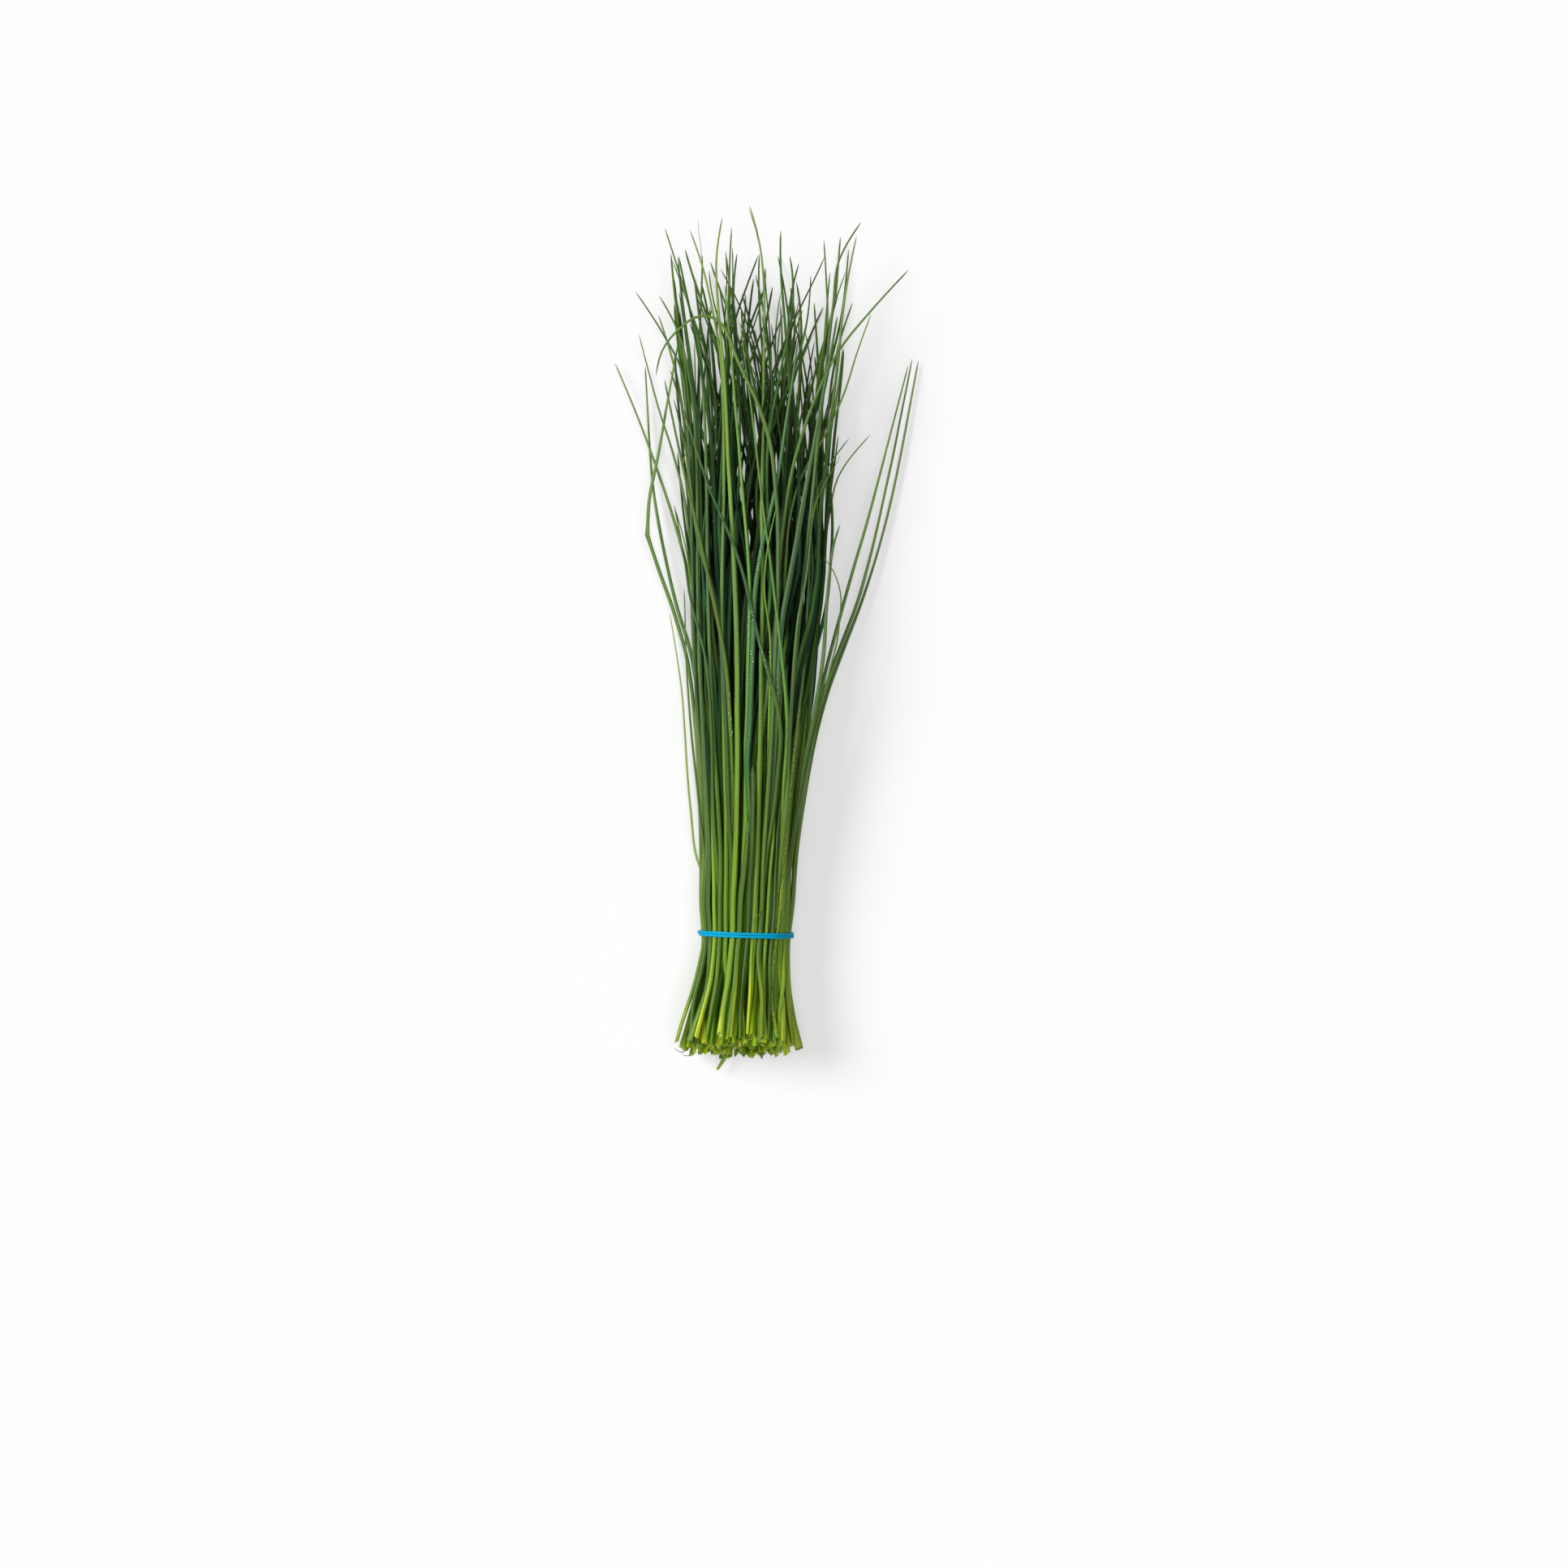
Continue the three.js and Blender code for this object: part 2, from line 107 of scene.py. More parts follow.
@dataclass
class LeafLine:
    """The line of a leaf's middle, from its cut end to its tip, as a close row of points."""

    name: str
    course: Array  # the points, n by 3
    thickness: Array  # the leaf's radius at each point
    fold: int | None = None  # which of the points it is folded at

    def __post_init__(self) -> None:
        """Measures the line, so that it can be asked for by length."""
        self.lengths = running(spans_of(self.course))
        self.length = float(self.lengths[-1])

    @classmethod
    def through(cls, name: str, points: Array, radii: Array, corner: int | None = None) -> "LeafLine":
        """Draws a smooth line through some places, with a point at nearly every millimetre.

        Each stretch is a cubic that starts and ends along the slopes at its two places. A slope is the
        difference between the neighbours on both sides, and a corner has one for each side.

        Args:
            name: the leaf's name.
            points: the places.
            radii: the leaf's radius there.
            corner: which place is a corner, if any.

        Returns:
            The line.
        """
        spans = spans_of(points)
        keys = running(spans)
        chords = np.diff(points, axis=0) / spans[:, None]
        slopes = np.empty_like(points)
        slopes[1:-1] = (points[2:] - points[:-2]) / (keys[2:] - keys[:-2])[:, None]
        slopes[0] = 1.5 * chords[0] - 0.5 * slopes[1]
        slopes[-1] = 1.5 * chords[-1] - 0.5 * slopes[-2]
        leaving, arriving = slopes[:-1].copy(), slopes[1:].copy()
        if corner is not None:
            leaving[corner] = chords[corner]
            arriving[corner - 1] = chords[corner - 1]
        at = np.linspace(0, keys[-1], int(keys[-1]) + 1)
        span = np.clip(np.searchsorted(keys, at, side="right") - 1, 0, len(spans) - 1)
        width = spans[span][:, None]
        t = ((at - keys[span]) / spans[span])[:, None]
        rise = smooth_step(t, 0, 1)
        bow = width * t * (1 - t) * ((1 - t) * leaving[span] - t * arriving[span])
        course = points[span] * (1 - rise) + points[span + 1] * rise + bow
        fold = None if corner is None else int(np.argmin(np.abs(at - keys[corner])))
        return cls(name, course, np.interp(at, keys, radii), fold)

    @classmethod
    def tapered(cls, name: str, course: Course, tip_share: float, taper: float) -> "LeafLine":
        """Draws a leaf whose radius is lost as a power of the way along it.

        Args:
            name: the leaf's name.
            course: its radius at its foot, and its places.
            tip_share: how much of the radius is left at the tip.
            taper: the power.

        Returns:
            The line.
        """
        radius, points = course[0], np.asarray(course[1], float)
        spans = spans_of(points)
        way = running(spans) / spans.sum()
        return cls.through(name, points, radius * (1 - (1 - tip_share) * way**taper))

    def at(self, length: Array) -> tuple[Array, ...]:
        """Gives the line at some lengths from the cut end.

        Args:
            length: the lengths.

        Returns:
            The points, the directions towards the tip, across and up from there, and the radii.
        """
        slope = np.gradient(self.course, self.lengths, axis=0)
        point, along = (
            np.stack([np.interp(length, self.lengths, part) for part in known.T], axis=1)
            for known in (self.course, slope)
        )
        along = unit(along)
        across = unit(np.cross(along, [0.0, 0.0, 1.0]))
        radius = np.interp(length, self.lengths, self.thickness)
        return point, along, across, np.cross(across, along), radius

    def shifted(self, y: Array, across: Array, up: Array) -> "LeafLine":
        """Moves the line, evenly over a few millimetres so that it stays smooth.

        Args:
            y: places along the bunch.
            across: how far the line moves across there.
            up: how far it moves up there.

        Returns:
            The moved line.
        """
        edge = 5
        fine = np.arange(y[0] - 2 * edge, y[-1] + 2 * edge, 1.0)
        window = np.hanning(9) / np.hanning(9).sum()
        course = self.course.copy()
        for axis, amount in ((0, across), (2, up)):
            even = np.convolve(np.interp(fine, y, amount), window, mode="same")
            course[:, axis] += np.interp(course[:, 1], fine[edge:-edge], even[edge:-edge])
        return LeafLine(self.name, course, self.thickness, self.fold)


Lines = list[LeafLine]


@dataclass
class FrameLeaves:
    """The leaves that the frame holds, read back as lines."""

    foot_reach: float = 3.2  # how near a leaf's lowest vertex the rest of its cut end is
    folded: str = "stray_leaf_17"
    loose_slim: float = 0.9  # a finished leaf's share of a plain one's radius, where it lies loose
    slim: float = 0.97  # and in the bunch
    grown: float = 0.04  # how much thicker it is at its tip, from the first place to the second
    grows: Pair = (120, 220)

    def lines(self) -> Lines:
        """Reads the line of every node that is a leaf."""
        return [self.line(name) for name in sorted(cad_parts) if "leaf" in name]

    def line(self, name: str) -> LeafLine:
        """Reads a leaf's line from its plain mesh, which is rings of vertices with a point at both ends.

        The rings are found by spreading from the cut end along the mesh's edges. A ring's middle is a place
        on the line, and its greatest distance from there is the radius.

        Args:
            name: the leaf's node.

        Returns:
            The leaf's line.
        """
        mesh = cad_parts[name].data
        places = np.empty(len(mesh.vertices) * 3, np.float32)
        mesh.vertices.foreach_get("co", places)
        corners = np.empty(len(mesh.loops), np.int32)
        mesh.loops.foreach_get("vertex_index", corners)
        places, merged = np.unique(np.round(places.reshape(-1, 3) / MM, 3), axis=0, return_inverse=True)
        triangles = merged.ravel()[corners].reshape(-1, 3)
        start, end = triangles.ravel(), np.roll(triangles, -1, axis=1).ravel()
        lowest = places[np.argmin(places[:, 1])]
        ring = np.where(np.linalg.norm(places - lowest, axis=1) < self.foot_reach, 0, -1)
        while (fresh := end[(ring[start] >= 0) & (ring[end] < 0)]).size:
            ring[fresh] = ring.max() + 1
        rings = [places[ring == number] for number in range(ring.max() + 1)]
        middles = np.array([around.mean(axis=0) for around in rings])
        radii = np.array([np.linalg.norm(r - middle, axis=1).max() for r, middle in zip(rings, middles)])
        if radii[-1] < radii[-2] / 2:
            # The last one is only the point of the tip.
            middles, radii = middles[:-1], radii[:-1]
        radii = radii * (self.loose_slim if name.startswith("stray") else self.slim)
        radii += self.grown * smooth_step(middles[:, 1], *self.grows)
        corner = None
        if name == self.folded:
            # It is folded where its direction turns most.
            ways = unit(np.diff(middles, axis=0))
            corner = int(np.argmin((ways[1:] * ways[:-1]).sum(axis=1))) + 1
        return LeafLine.through(name, middles, radii, corner)


@dataclass
class HeartLeaves:
    """The leaves in the heart of the bunch, which the frame leaves out.

    They start side by side within the rings of outer leaves and spread as the bunch opens.
    """

    count: int = 116
    thin: float = 0.6
    thick: float = 1.08
    tip_share: float = 0.29
    taper: float = 2.6
    core: float = 0.72  # how much of the bunch's half width they fill at the band
    jitter: float = 0.02  # how far they stray from an even spread there
    opening: float = 1.28  # how many times that once it has opened
    opens: Pair = (5, 140)  # from where to where it opens
    cut_splay: float = 0.12  # how much wider they stand at the cut ends
    drift: Pair = (0.85, 0.8)  # how far a leaf strays as the bunch opens, across and up
    sway: float = 0.16  # how far it waves about its way
    cut_sway: float = 0.25  # the share of that at the cut ends
    wavelengths: Pair = (90, 190)
    curl: float = 18.0  # how far a tip curls away
    curl_length: float = 75.0
    curl_out: float = 0.35  # how much of that is away from the bunch's middle
    curl_up: float = 0.4  # how far it goes up or down, as a share of how far it goes aside
    widest: float = 1.1  # how far aside a tip gets, in half widths of the bunch
    reach: float = 0.95  # how far out a leaf gets
    shortest: float = 140.0
    longest: float = 235.0
    tip_spread: Pair = (2.6, 1.8)  # the beta law of the tips between those two
    tip_lift: float = 0.86  # and the power that it is raised to
    cut_low: float = -42.0
    cut_slant: float = 9.0  # how much shorter the highest leaves are cut
    first: float = -45.0  # where their lines can start, and the distance between a line's places
    spacing: float = 5.0
    # The bunch's middle, half width and half height at some places along it: y, x, z, wide, high.
    outline: tuple[tuple[float, ...], ...] = (
        (-48, -4.2, 13.6, 24.0, 13.4),
        (-24, -2.8, 13.2, 19.0, 12.9),
        (0, 0.0, 12.2, 14.8, 12.2),
        (40, 1.0, 13.0, 18.6, 12.6),
        (80, 2.4, 13.2, 22.6, 12.9),
        (120, 4.0, 13.4, 25.5, 13.1),
        (190, 4.2, 13.2, 26.5, 12.8),
        (246, 4.6, 12.4, 28.5, 11.8),
    )

    def starts(self, rng: Rng) -> tuple[Array, Array]:
        """Spreads the leaves over the core like sunflower seeds, so that each has the same room.

        The n-th lies at the golden angle times n, at a distance that grows as the square root of n.

        Args:
            rng: the source of chance.

        Returns:
            How far across and up each leaf is at the band, in shares of the bunch's half sizes.
        """
        n = np.arange(self.count)
        angle = n * math.pi * (3 - math.sqrt(5))
        out = self.core * np.sqrt((n + 0.5) / self.count)
        jitter = rng.normal(0, self.jitter, (2, self.count))
        return out * np.cos(angle) + jitter[0], out * np.sin(angle) + jitter[1]

    def lines(self, rng: Rng) -> Lines:
        """Gives where each leaf would like to lie.

        The formula is middle plus half width times (start plus opening drift plus a slow wave), across the
        bunch and up it, and near the tip a curl that grows as the square of the way.

        Args:
            rng: the source of chance.

        Returns:
            The lines, before they settle.
        """
        y = np.arange(self.first, self.longest + self.spacing, self.spacing)
        tips = rng.beta(*self.tip_spread, self.count) ** self.tip_lift
        tips = self.shortest + (self.longest - self.shortest) * tips
        keys, *parts = np.array(self.outline).T
        middle_x, middle_z, wide, high = (np.interp(y, keys, part) for part in parts)
        u, v = self.starts(rng)
        opened = smooth_step(y, *self.opens)
        cut = smooth_step(y, 0, self.cut_low)
        grown = 1 + (self.opening - 1) * opened + self.cut_splay * cut
        pair = (2, self.count, 1)
        chance = rng.uniform(-1, 1, pair) * rng.uniform(0.2, 1, pair)
        phase = rng.uniform(0, TURN, pair)
        wave = np.sin(phase + TURN * y / rng.uniform(*self.wavelengths, pair))
        wave = self.sway * wave * (opened + self.cut_sway * cut)
        across = u[:, None] * grown + self.drift[0] * chance[0] * opened + wave[0]
        up = v[:, None] * grown + self.drift[1] * chance[1] * opened + wave[1]
        out = np.maximum(1, np.hypot(across, up) / self.reach)
        curled = np.clip(1 - (tips[:, None] - y) / self.curl_length, 0, None) ** 2
        lean = rng.uniform(-1, 1, pair) * self.curl
        aside = wide * across / out + curled * (lean[0] + self.curl_out * self.curl * across)
        x = middle_x + aside / (1 + np.abs(aside / (self.widest * wide)) ** 4) ** 0.25
        z = middle_z + high * up / out + self.curl_up * curled * lean[1]
        feet = self.cut_low + self.cut_slant * (v + 1) / 2 + rng.normal(0, 1.0, self.count)
        radii = rng.uniform(self.thin, self.thick, self.count)
        made = []
        for i, (foot, tip, radius) in enumerate(zip(feet, tips, radii)):
            at = np.concatenate([[foot], y[(y > foot + 2) & (y < tip - 2)], [tip]])
            points = np.stack([np.interp(at, y, x[i]), at, np.interp(at, y, z[i])], axis=1)
            course = (radius, points)
            made.append(LeafLine.tapered(f"heart_leaf_{i + 1}", course, self.tip_share, self.taper))
        return made


@dataclass
class CrossingLeaves:
    """A few leaves that come up out of the heart and lie aslant over the others."""

    tip_share: float = 0.3
    taper: float = 2.2
    courses: tuple[Course, ...] = (
        (0.84, ((5, -36, 21), (4, 0, 20), (10, 50, 24.5), (11, 70, 27.2), (3.6, 99, 28), (-2.3, 123, 28),
            (-12.4, 148, 27.4), (-25, 186, 26))),
        (0.9, ((-4, -37, 20), (-3.5, 0, 19), (-5, 60, 24.5), (-7, 89, 26.8), (-15.4, 131, 27),
            (-20, 150, 26.4), (-27, 183, 25))),
        (1.12, ((3, -35, 22), (2, 0, 20.5), (1, 60, 25.6), (1.8, 104, 27.4), (5.4, 130, 27.8),
            (9.5, 146, 27.6), (17, 196, 26.6))),
        (0.98, ((8, -36, 20), (7, 0, 19), (9, 68, 25.5), (11.3, 101, 27.3), (14, 116, 27.4), (20, 149, 27),
            (30, 204, 25.5))),
        (0.72, ((11, -34, 19), (9.5, 0, 18.5), (13.5, 68, 25.6), (11.3, 95, 27.6), (8.4, 119, 28.2),
            (4.8, 148, 28), (-2, 201, 27))),
        (0.8, ((-1, -36, 21), (-1, 0, 20.5), (1, 70, 25.8), (1.2, 115, 27.6), (-1.4, 148, 27.8),
            (-7, 214, 26.6))),
        (0.62, ((6, -35, 20), (5, 0, 19.5), (8, 70, 25.8), (7.8, 98, 27.6), (6, 113, 28.4),
            (6.8, 126, 28.6), (10.2, 141.5, 28.2))),
        (0.85, ((13, -34, 18), (11, 0, 17.5), (18, 50, 19.5), (22.8, 75, 21.5), (25.4, 92, 22.5),
            (26.4, 108, 23), (27.9, 123, 23.5), (29.2, 130, 23.8), (31, 135.3, 24))),
        (0.5, ((12, -35, 15), (11, 0, 15.5), (20, 55, 18), (27, 85, 21.5), (29.9, 97, 22.6),
            (30.9, 106, 23.2), (31.2, 112, 23.6), (29, 119.5, 24), (25.4, 124.4, 24.2))),
        (0.62, ((-12, -36, 17), (-10.5, 0, 15.5), (-15.5, 40, 16.5), (-18.6, 70, 18), (-20, 92, 19.5),
            (-20.7, 114.2, 19.5))),
        (0.7, ((-9, -36, 19), (-8, 0, 18.5), (-11, 40, 21.5), (-11.5, 66, 23.4), (-12.2, 80, 23.8),
            (-13.6, 92, 23.5), (-16.2, 102, 22.4), (-18.9, 112, 20.8), (-20.3, 122, 19.4),
            (-23.9, 142.3, 17.5))),
        (0.8, ((-5.5, -36, 19.5), (-5, 0, 19.5), (-6, 40, 24), (-7, 75, 26), (-8.8, 101, 26.2),
            (-11.6, 116, 25.2), (-15.8, 129, 23.4), (-19.3, 155, 21.4), (-23, 172.8, 20))),
        (0.7, ((10, -35, 18.5), (9, 0, 18.5), (11.5, 30, 22), (14.2, 66, 24.2), (15.4, 86, 24.8),
            (17.2, 105, 24.6), (19, 114, 24.2), (20.5, 125, 23.8), (22, 142, 23))),
    )

    def lines(self) -> Lines:
        """Draws the leaves' lines."""
        named = ((f"crossing_leaf_{i + 1}", course) for i, course in enumerate(self.courses))
        return [LeafLine.tapered(name, course, self.tip_share, self.taper) for name, course in named]


@dataclass
class Settling:
    """Settles leaves side by side, so that none runs through another.

    Every leaf is followed at stations along the bunch. In each round it is evened out along its length,
    drawn a little towards home, and pushed clear of the others. Near the cut ends, where the band lets them
    splay, the leaves first get a little out of line.
    """

    station: float = 5.0  # the distance between stations
    first: float = -45.0
    last: float = 240.0
    rounds: int = 120
    stiffness: float = 0.75
    largest_push: float = 0.6
    nearest: float = 1e-4  # two leaves count as no nearer than this
    foot_splay: Pair = (1.2, 1.5)  # how far a cut end strays from the fan, across and up
    foot_bend: float = 0.9  # how far a leaf bows between the band and its cut end
    # Shares of a leaf's way out: how far cut ends on the left are gathered in, how much wider the left and
    # the right half are at the band, and how far the left half is gathered in above it.
    foot_gather: float = 0.1
    waist: Pair = (0.155, 0.08)
    body_gather: float = 0.13
    # The leaves with a foot of their own: how far it moves across halfway to the cut end, and there.
    own_foot: tuple[tuple[str, float, float], ...] = (
        ("stray_leaf_14", 0.0, -1.15),
        ("stray_leaf_15", 2.0, 1.5),
        ("stray_leaf_16", 1.4, 1.4),
        ("stray_leaf_17", 1.4, 1.7),
        ("outer_leaf_02", 0.0, 1.0),
        ("stray_leaf_02", 0.0, 1.0),
    )
    own_homing: float = 0.8  # and how strongly such a leaf keeps its place
    # Where these moves act along the bunch: how far below the band those of the cut ends begin and are full,
    # and the middle and the reach of those that swell and die away.
    splay_at: Pair = (4, 42)
    bend_at: Pair = (-20, 10)
    foot_gather_at: Pair = (2, 18)
    waist_at: Pair = (9, 12)
    body_gather_at: Pair = (98, 32)
    halfway_at: Pair = (-19, 11)
    own_foot_at: Pair = (16, 36)
    ceiling: float = 27.2  # how high a leaf reaches, unless its home is higher
    slack: Pair = (0.05, 0.2)  # how far it stays off the floor, and may rise over such a home
    # How high a leaf's middle stays over the floor, in radii, how much higher near the cut ends, and where.
    floor_rise: Pair = (1.1, 0.4)
    floor_rise_at: Pair = (25, 40)
    most_lean: float = 1.5  # a leaning leaf takes at most this many times its room

    def __post_init__(self) -> None:
        """Places the stations."""
        self.y = np.arange(self.first, self.last + self.station, self.station)

    def followed(self, lines: Lines) -> tuple[Array, Array, Array]:
        """Reads every leaf at the stations.

        Args:
            lines: the leaves' lines.

        Returns:
            Each leaf's places across and up, and its radius, which is not a number beyond its ends.
        """
        x, z, r = np.zeros((3, len(lines), len(self.y)), np.float32)
        for row, line in enumerate(lines):
            top = int(np.argmax(line.course[:, 1])) + 1
            across, along, up = line.course[:top].T
            x[row], z[row] = np.interp(self.y, along, across), np.interp(self.y, along, up)
            there = (self.y > along[0] - self.station) & (self.y < along[-1] + self.station)
            r[row] = np.where(there, np.interp(self.y, along, line.thickness[:top]), np.nan)
        return x, z, r

    def moves(self, lines: Lines, x: Array, rng: Rng) -> tuple[Array, Array, Array]:
        """Gives how far each leaf's home lies from where it starts.

        Args:
            lines: the leaves' lines.
            x: their places across.
            rng: the source of chance.

        Returns:
            The moves across and up, and which leaves have a foot of their own.
        """
        y = self.y
        splay = rng.normal(0, 1, (4, len(lines), 1)).clip(-2, 2)
        foot, bow = smooth_step(-y, *self.splay_at), hump(y, *self.bend_at)
        left, right = np.minimum(x, 0), np.maximum(x, 0)
        gather = -self.foot_gather * left * smooth_step(-y, *self.foot_gather_at)
        own = np.zeros(len(lines), bool)
        for row, line in enumerate(lines):
            if not line.name.startswith(("stray", "crossing")):
                gather[row] -= self.body_gather * left[row] * hump(y, *self.body_gather_at)
            for name, halfway, there in self.own_foot:
                if line.name == name:
                    splay[:, row], own[row] = 0, True
                    gather[row] = halfway * hump(y, *self.halfway_at)
                    gather[row] += there * smooth_step(-y, *self.own_foot_at)
        gather += (self.waist[0] * left + self.waist[1] * right) * hump(y, *self.waist_at)
        across = splay[0] * self.foot_splay[0] * foot + splay[2] * self.foot_bend * bow + gather
        up = splay[1] * self.foot_splay[1] * foot + splay[3] * self.foot_bend * bow
        return across, up, own

    def settle(self, lines: Lines, homing: Array, rng: Rng) -> Lines:
        """Settles the leaves.

        Two leaves that are nearer than the sum of their radii, times how much they lean, are pushed apart
        along the line between them, each by half of what is lacking.

        Args:
            lines: the leaves' lines.
            homing: how strongly each leaf is drawn home, from 0 to 1.
            rng: the source of chance.

        Returns:
            The settled lines.
        """
        start_x, start_z, r = self.followed(lines)
        move_x, move_z, own = self.moves(lines, start_x, rng)
        home_x, home_z = start_x + move_x, start_z + move_z
        staying = 1 - np.where(own, self.own_homing, homing)[:, None]
        x, z = home_x.copy(), home_z.copy()
        radius = np.nan_to_num(r)
        ceiling = np.maximum(self.ceiling - radius, start_z + self.slack[1])
        plain_rise, cut_rise = self.floor_rise
        lowest = radius * (plain_rise + cut_rise * smooth_step(-self.y, *self.floor_rise_at))
        lowest += self.slack[0]
        room = r[:, None] + r[None]
        for _ in range(self.rounds):
            for place, home in ((x, home_x), (z, home_z)):
                off = (place - home) * staying
                padded = np.pad(off, ((0, 0), (1, 1)), mode="edge")
                off += self.stiffness * ((padded[:, :-2] + padded[:, 2:]) / 2 - off)
                place[:] = home + off
            slopes = [np.gradient(place, self.station, axis=1) for place in (x, z)]
            lean = np.sqrt(1 + slopes[0] ** 2 + slopes[1] ** 2).clip(None, self.most_lean).astype(np.float32)
            dx, dz = x[:, None] - x[None], z[:, None] - z[None]
            apart = np.sqrt(dx * dx + dz * dz)
            lack = np.nan_to_num(np.clip(room * np.maximum(lean[:, None], lean[None]) - apart, 0, None))
            lack *= 0.5 / np.maximum(apart, self.nearest)
            push_x, push_z = (lack * dx).sum(axis=1), (lack * dz).sum(axis=1)
            size = np.maximum(1, np.hypot(push_x, push_z) / self.largest_push)
            x += push_x / size
            z += push_z / size
            np.clip(z, lowest, ceiling, out=z)
        return [line.shifted(self.y, *move) for line, *move in zip(lines, x - start_x, z - start_z)]


# ---- Meshes ----


@dataclass
class Surface:
    """A mesh as whole arrays."""

    places: Array  # the vertices
    corners: Array  # the vertex of each face corner
    counts: Array  # how many corners each face has
    layout: Array  # where each face corner lies on the piece's flat map, from 0 to 1
    marks: dict[str, Array] = field(default_factory=dict)  # what the finish reads: three numbers a vertex

    @classmethod
    def joined(cls, surfaces: list["Surface"]) -> "Surface":
        """Joins surfaces into one, and gives each its own square of the flat map.

        Args:
            surfaces: the surfaces, which all have the same marks.

        Returns:
            The joined surface.
        """
        first = running([len(one.places) for one in surfaces[:-1]])
        grid = math.ceil(math.sqrt(len(surfaces)))
        squares = [np.array([i % grid, i // grid]) for i in range(len(surfaces))]
        return cls(
            places=np.concatenate([one.places for one in surfaces]),
            corners=np.concatenate([one.corners + n for one, n in zip(surfaces, first)]),
            counts=np.concatenate([one.counts for one in surfaces]),
            layout=np.concatenate([(one.layout + at) / grid for one, at in zip(surfaces, squares)]),
            marks={key: np.concatenate([one.marks[key] for one in surfaces]) for key in surfaces[0].marks},
        )

    def piece(self, name: str, material: Material, slot: str = "", node: str = "") -> Piece:
        """Makes a smooth-shaded mesh object at the origin, attaches a piece of the bunch to its root, and
        hides the node that it replaces.

        Args:
            name: the piece's name.
            material: what it wears.
            slot: the record's name for its finish, if it is part of the bunch; a piece with one is attached
                to the bunch's root.
            node: the node that it replaces, if any.

        Returns:
            The new piece.
        """
        mesh = bpy.data.meshes.new(name)
        mesh.vertices.add(len(self.places))
        mesh.vertices.foreach_set("co", (self.places * MM).astype(np.float32).ravel())
        mesh.loops.add(len(self.corners))
        mesh.loops.foreach_set("vertex_index", self.corners.astype(np.int32))
        mesh.polygons.add(len(self.counts))
        mesh.polygons.foreach_set("loop_start", (np.cumsum(self.counts) - self.counts).astype(np.int32))
        mesh.polygons.foreach_set("use_smooth", np.ones(len(self.counts), bool))
        flat_map = mesh.uv_layers.new(name=FLAT_MAP)
        flat_map.uv.foreach_set("vector", self.layout.astype(np.float32).ravel())
        for key, values in self.marks.items():
            mark = mesh.attributes.new(key, "FLOAT_VECTOR", "POINT")
            mark.data.foreach_set("vector", values.astype(np.float32).ravel())
        mesh.update(calc_edges=True)
        mesh.materials.append(material)
        made = bpy.data.objects.new(name, mesh)
        bpy.context.scene.collection.objects.link(made)
        if slot:
            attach(made, "root")
        if node:
            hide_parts(node)
        return made


def walls(rows: int, sides: int) -> tuple[Array, Array]:
    """Lays out four-sided faces, which face outwards, between rows of vertices round a tube.

    Args:
        rows: how many rows of faces there are.
        sides: how many faces there are in a row.

    Returns:
        The row and the side of each face corner.
    """
    row, side = np.meshgrid(np.arange(rows), np.arange(sides), indexing="ij")
    corners = ((row, row + 1, row + 1, row), (side, side, side + 1, side + 1))
    return tuple(np.stack(part, axis=-1).ravel() for part in corners)


@dataclass
class Lathe:
    """The faces of a closed tube: rows of vertices round it, numbered row by row, and then two poles.

    Four-sided faces lie between the rows, and a fan of triangles on each pole. A face corner's row is -1 or
    the number of rows at a pole, and its side runs on to the number of sides at the seam.
    """

    rows: int
    sides: int
    strip_across: Pair = (0.05, 0.9)  # where a strip of the flat map starts, and its share of its room
    strip_along: Pair = (0.01, 0.98)

    def __post_init__(self) -> None:
        """Lays out the faces: the row, side and vertex of each corner, and each face's number of corners."""
        wall_rows, wall_sides = walls(self.rows - 1, self.sides)
        side = np.arange(self.sides)
        first_fan = np.stack([side + 0.5, side, side + 1], axis=1)
        last_fan = np.stack([side + 0.5, side + 1, side], axis=1)
        first_rows = np.tile([-1, 0, 0], self.sides)
        self.corner_rows = np.concatenate([wall_rows, first_rows, self.rows - 1 - first_rows])
        self.corner_sides = np.concatenate([wall_sides, first_fan.ravel(), last_fan.ravel()])
        self.corners = self.corner_rows * self.sides + self.corner_sides.astype(int) % self.sides
        self.corners[self.corner_rows < 0] = self.rows * self.sides
        self.corners[self.corner_rows == self.rows] = self.rows * self.sides + 1
        self.counts = np.repeat([4, 3], [(self.rows - 1) * self.sides, 2 * self.sides])

    def layout(self, path: Array, girth: float) -> Array:
        """Lays the tube's skin on a flat square: cut into lengths, which lie side by side as strips.

        Args:
            path: how far along the skin each row is, with both poles.
            girth: the way round the tube.

        Returns:
            Each face corner's place on the square.
        """
        strips = max(1, round(math.sqrt(path[-1] / girth)))
        strip_length = path[-1] / strips
        at = path[self.corner_rows + 1]
        start = np.minimum.reduceat(at, np.cumsum(self.counts) - self.counts)
        strip = np.repeat(np.minimum(start // strip_length, strips - 1), self.counts)
        left, wide = self.strip_across
        low, high = self.strip_along
        u = (strip + left + wide * self.corner_sides / self.sides) / strips
        v = low + high * (at - strip * strip_length) / (strip_length + np.diff(path).max())
        return np.stack([u, v], axis=1)


class Freshness(Enum):
    """How a leaf has kept, by the record's name for its finish."""

    FRESH = "leaf"
    PALE = "pale_leaf"


class Layer(Enum):
    """Where in the bunch a leaf lies, which decides how much painted shade its colour gets."""

    OUTSIDE = 0.0
    BELOW = 0.35
    HEART = 1.0


